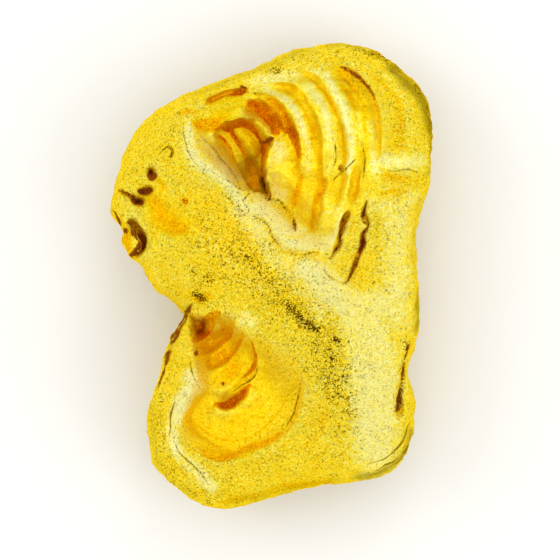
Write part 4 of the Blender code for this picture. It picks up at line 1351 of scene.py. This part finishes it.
# %% [markdown]
# ## The finished piece
# The dressed nugget takes the plain solid's place. The solid stays in the model for collisions, but
# is no longer shown.

# %% Put the nugget in the scene
mesh.materials.append(gold.block)
mesh.shade_smooth()
nugget = bpy.data.objects.new("nugget_surface", mesh)
bpy.context.scene.collection.objects.link(nugget)
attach(nugget, "root")
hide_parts("gold_nugget")
print("placed", nugget.name)

# %% [markdown]
# ## Table, light and camera
# The nugget lies on a plain pale table. Gold is a mirror of a sort, so it needs something bright on
# every side to reflect: a soft white surround does most of the lighting, and large soft lamps at the
# sides, clear of the camera, draw out the ledges. The camera looks straight down with a long lens.

# %% The table
TABLE_SIDE = 1.2
TABLE_COLOUR = (0.72, 0.71, 0.69, 1)

corner = TABLE_SIDE / 2
table_mesh = bpy.data.meshes.new("table")
table_corners = [
    (-corner, -corner, 0), (corner, -corner, 0), (corner, corner, 0), (-corner, corner, 0),
]
table_mesh.from_pydata(table_corners, [], [(0, 1, 2, 3)])
table = bpy.data.objects.new("table", table_mesh)
bpy.context.scene.collection.objects.link(table)
paper = Finish(bpy.data.materials.new("pale_paper"))
paper_shader = paper.node("BsdfPrincipled", {}, {"Base Color": TABLE_COLOUR, "Roughness": 0.8})
paper.node("OutputMaterial", {"is_active_output": True}, {"Surface": paper_shader})
table_mesh.materials.append(paper.block)
print("table:", TABLE_SIDE, "m")

# %% Lamps and surround
LAMPS = (  # name, place, size in metres and power in watts
    ("left_lamp", (-0.45, 0.15, 0.40), 0.35, 0.8),
    ("right_lamp", (0.42, -0.20, 0.40), 0.35, 0.8),
    ("top_lamp", (0.10, 0.50, 0.45), 0.30, 0.4),
)
SURROUND_AT_TABLE = 0.72
SURROUND_OVERHEAD = 1.87

for name, place_at, size, power in LAMPS:
    lamp = bpy.data.lights.new(name, "AREA")
    lamp.size, lamp.energy = size, power
    stand = bpy.data.objects.new(name, lamp)
    stand.location = place_at
    stand.rotation_euler = (-stand.location).to_track_quat("-Z", "Y").to_euler()
    bpy.context.scene.collection.objects.link(stand)
world = bpy.data.worlds.new("studio")
surround = Finish(world)
direction = surround.node("TexCoord", {}, {}, "Generated")
upward = surround.node("SeparateXYZ", {}, {"Vector": direction}, "Z").held()
strength = SURROUND_AT_TABLE + (SURROUND_OVERHEAD - SURROUND_AT_TABLE) * upward
light = surround.node("Background", {}, {"Strength": strength})
surround.node("OutputWorld", {}, {"Surface": light})
bpy.context.scene.world = world
bpy.context.scene.view_settings.view_transform = "Standard"
print("lamps:", len(LAMPS))

# %% The camera
CAMERA_HEIGHT = 0.6
VIEW_CENTRE = (0.765 * MM, -0.36 * MM)
VIEW_SIDE = 50.4 * MM
VIEW_LEVEL = 7 * MM  # the height at which the view is that wide
FILM_WIDTH = 36

camera = bpy.data.cameras.new("camera")
camera.sensor_width = FILM_WIDTH
camera.lens = FILM_WIDTH * CAMERA_HEIGHT / VIEW_SIDE
eye = bpy.data.objects.new("camera", camera)
eye.location = (*VIEW_CENTRE, VIEW_LEVEL + CAMERA_HEIGHT)
bpy.context.scene.collection.objects.link(eye)
bpy.context.scene.camera = eye
print("camera:", round(camera.lens), "mm lens")
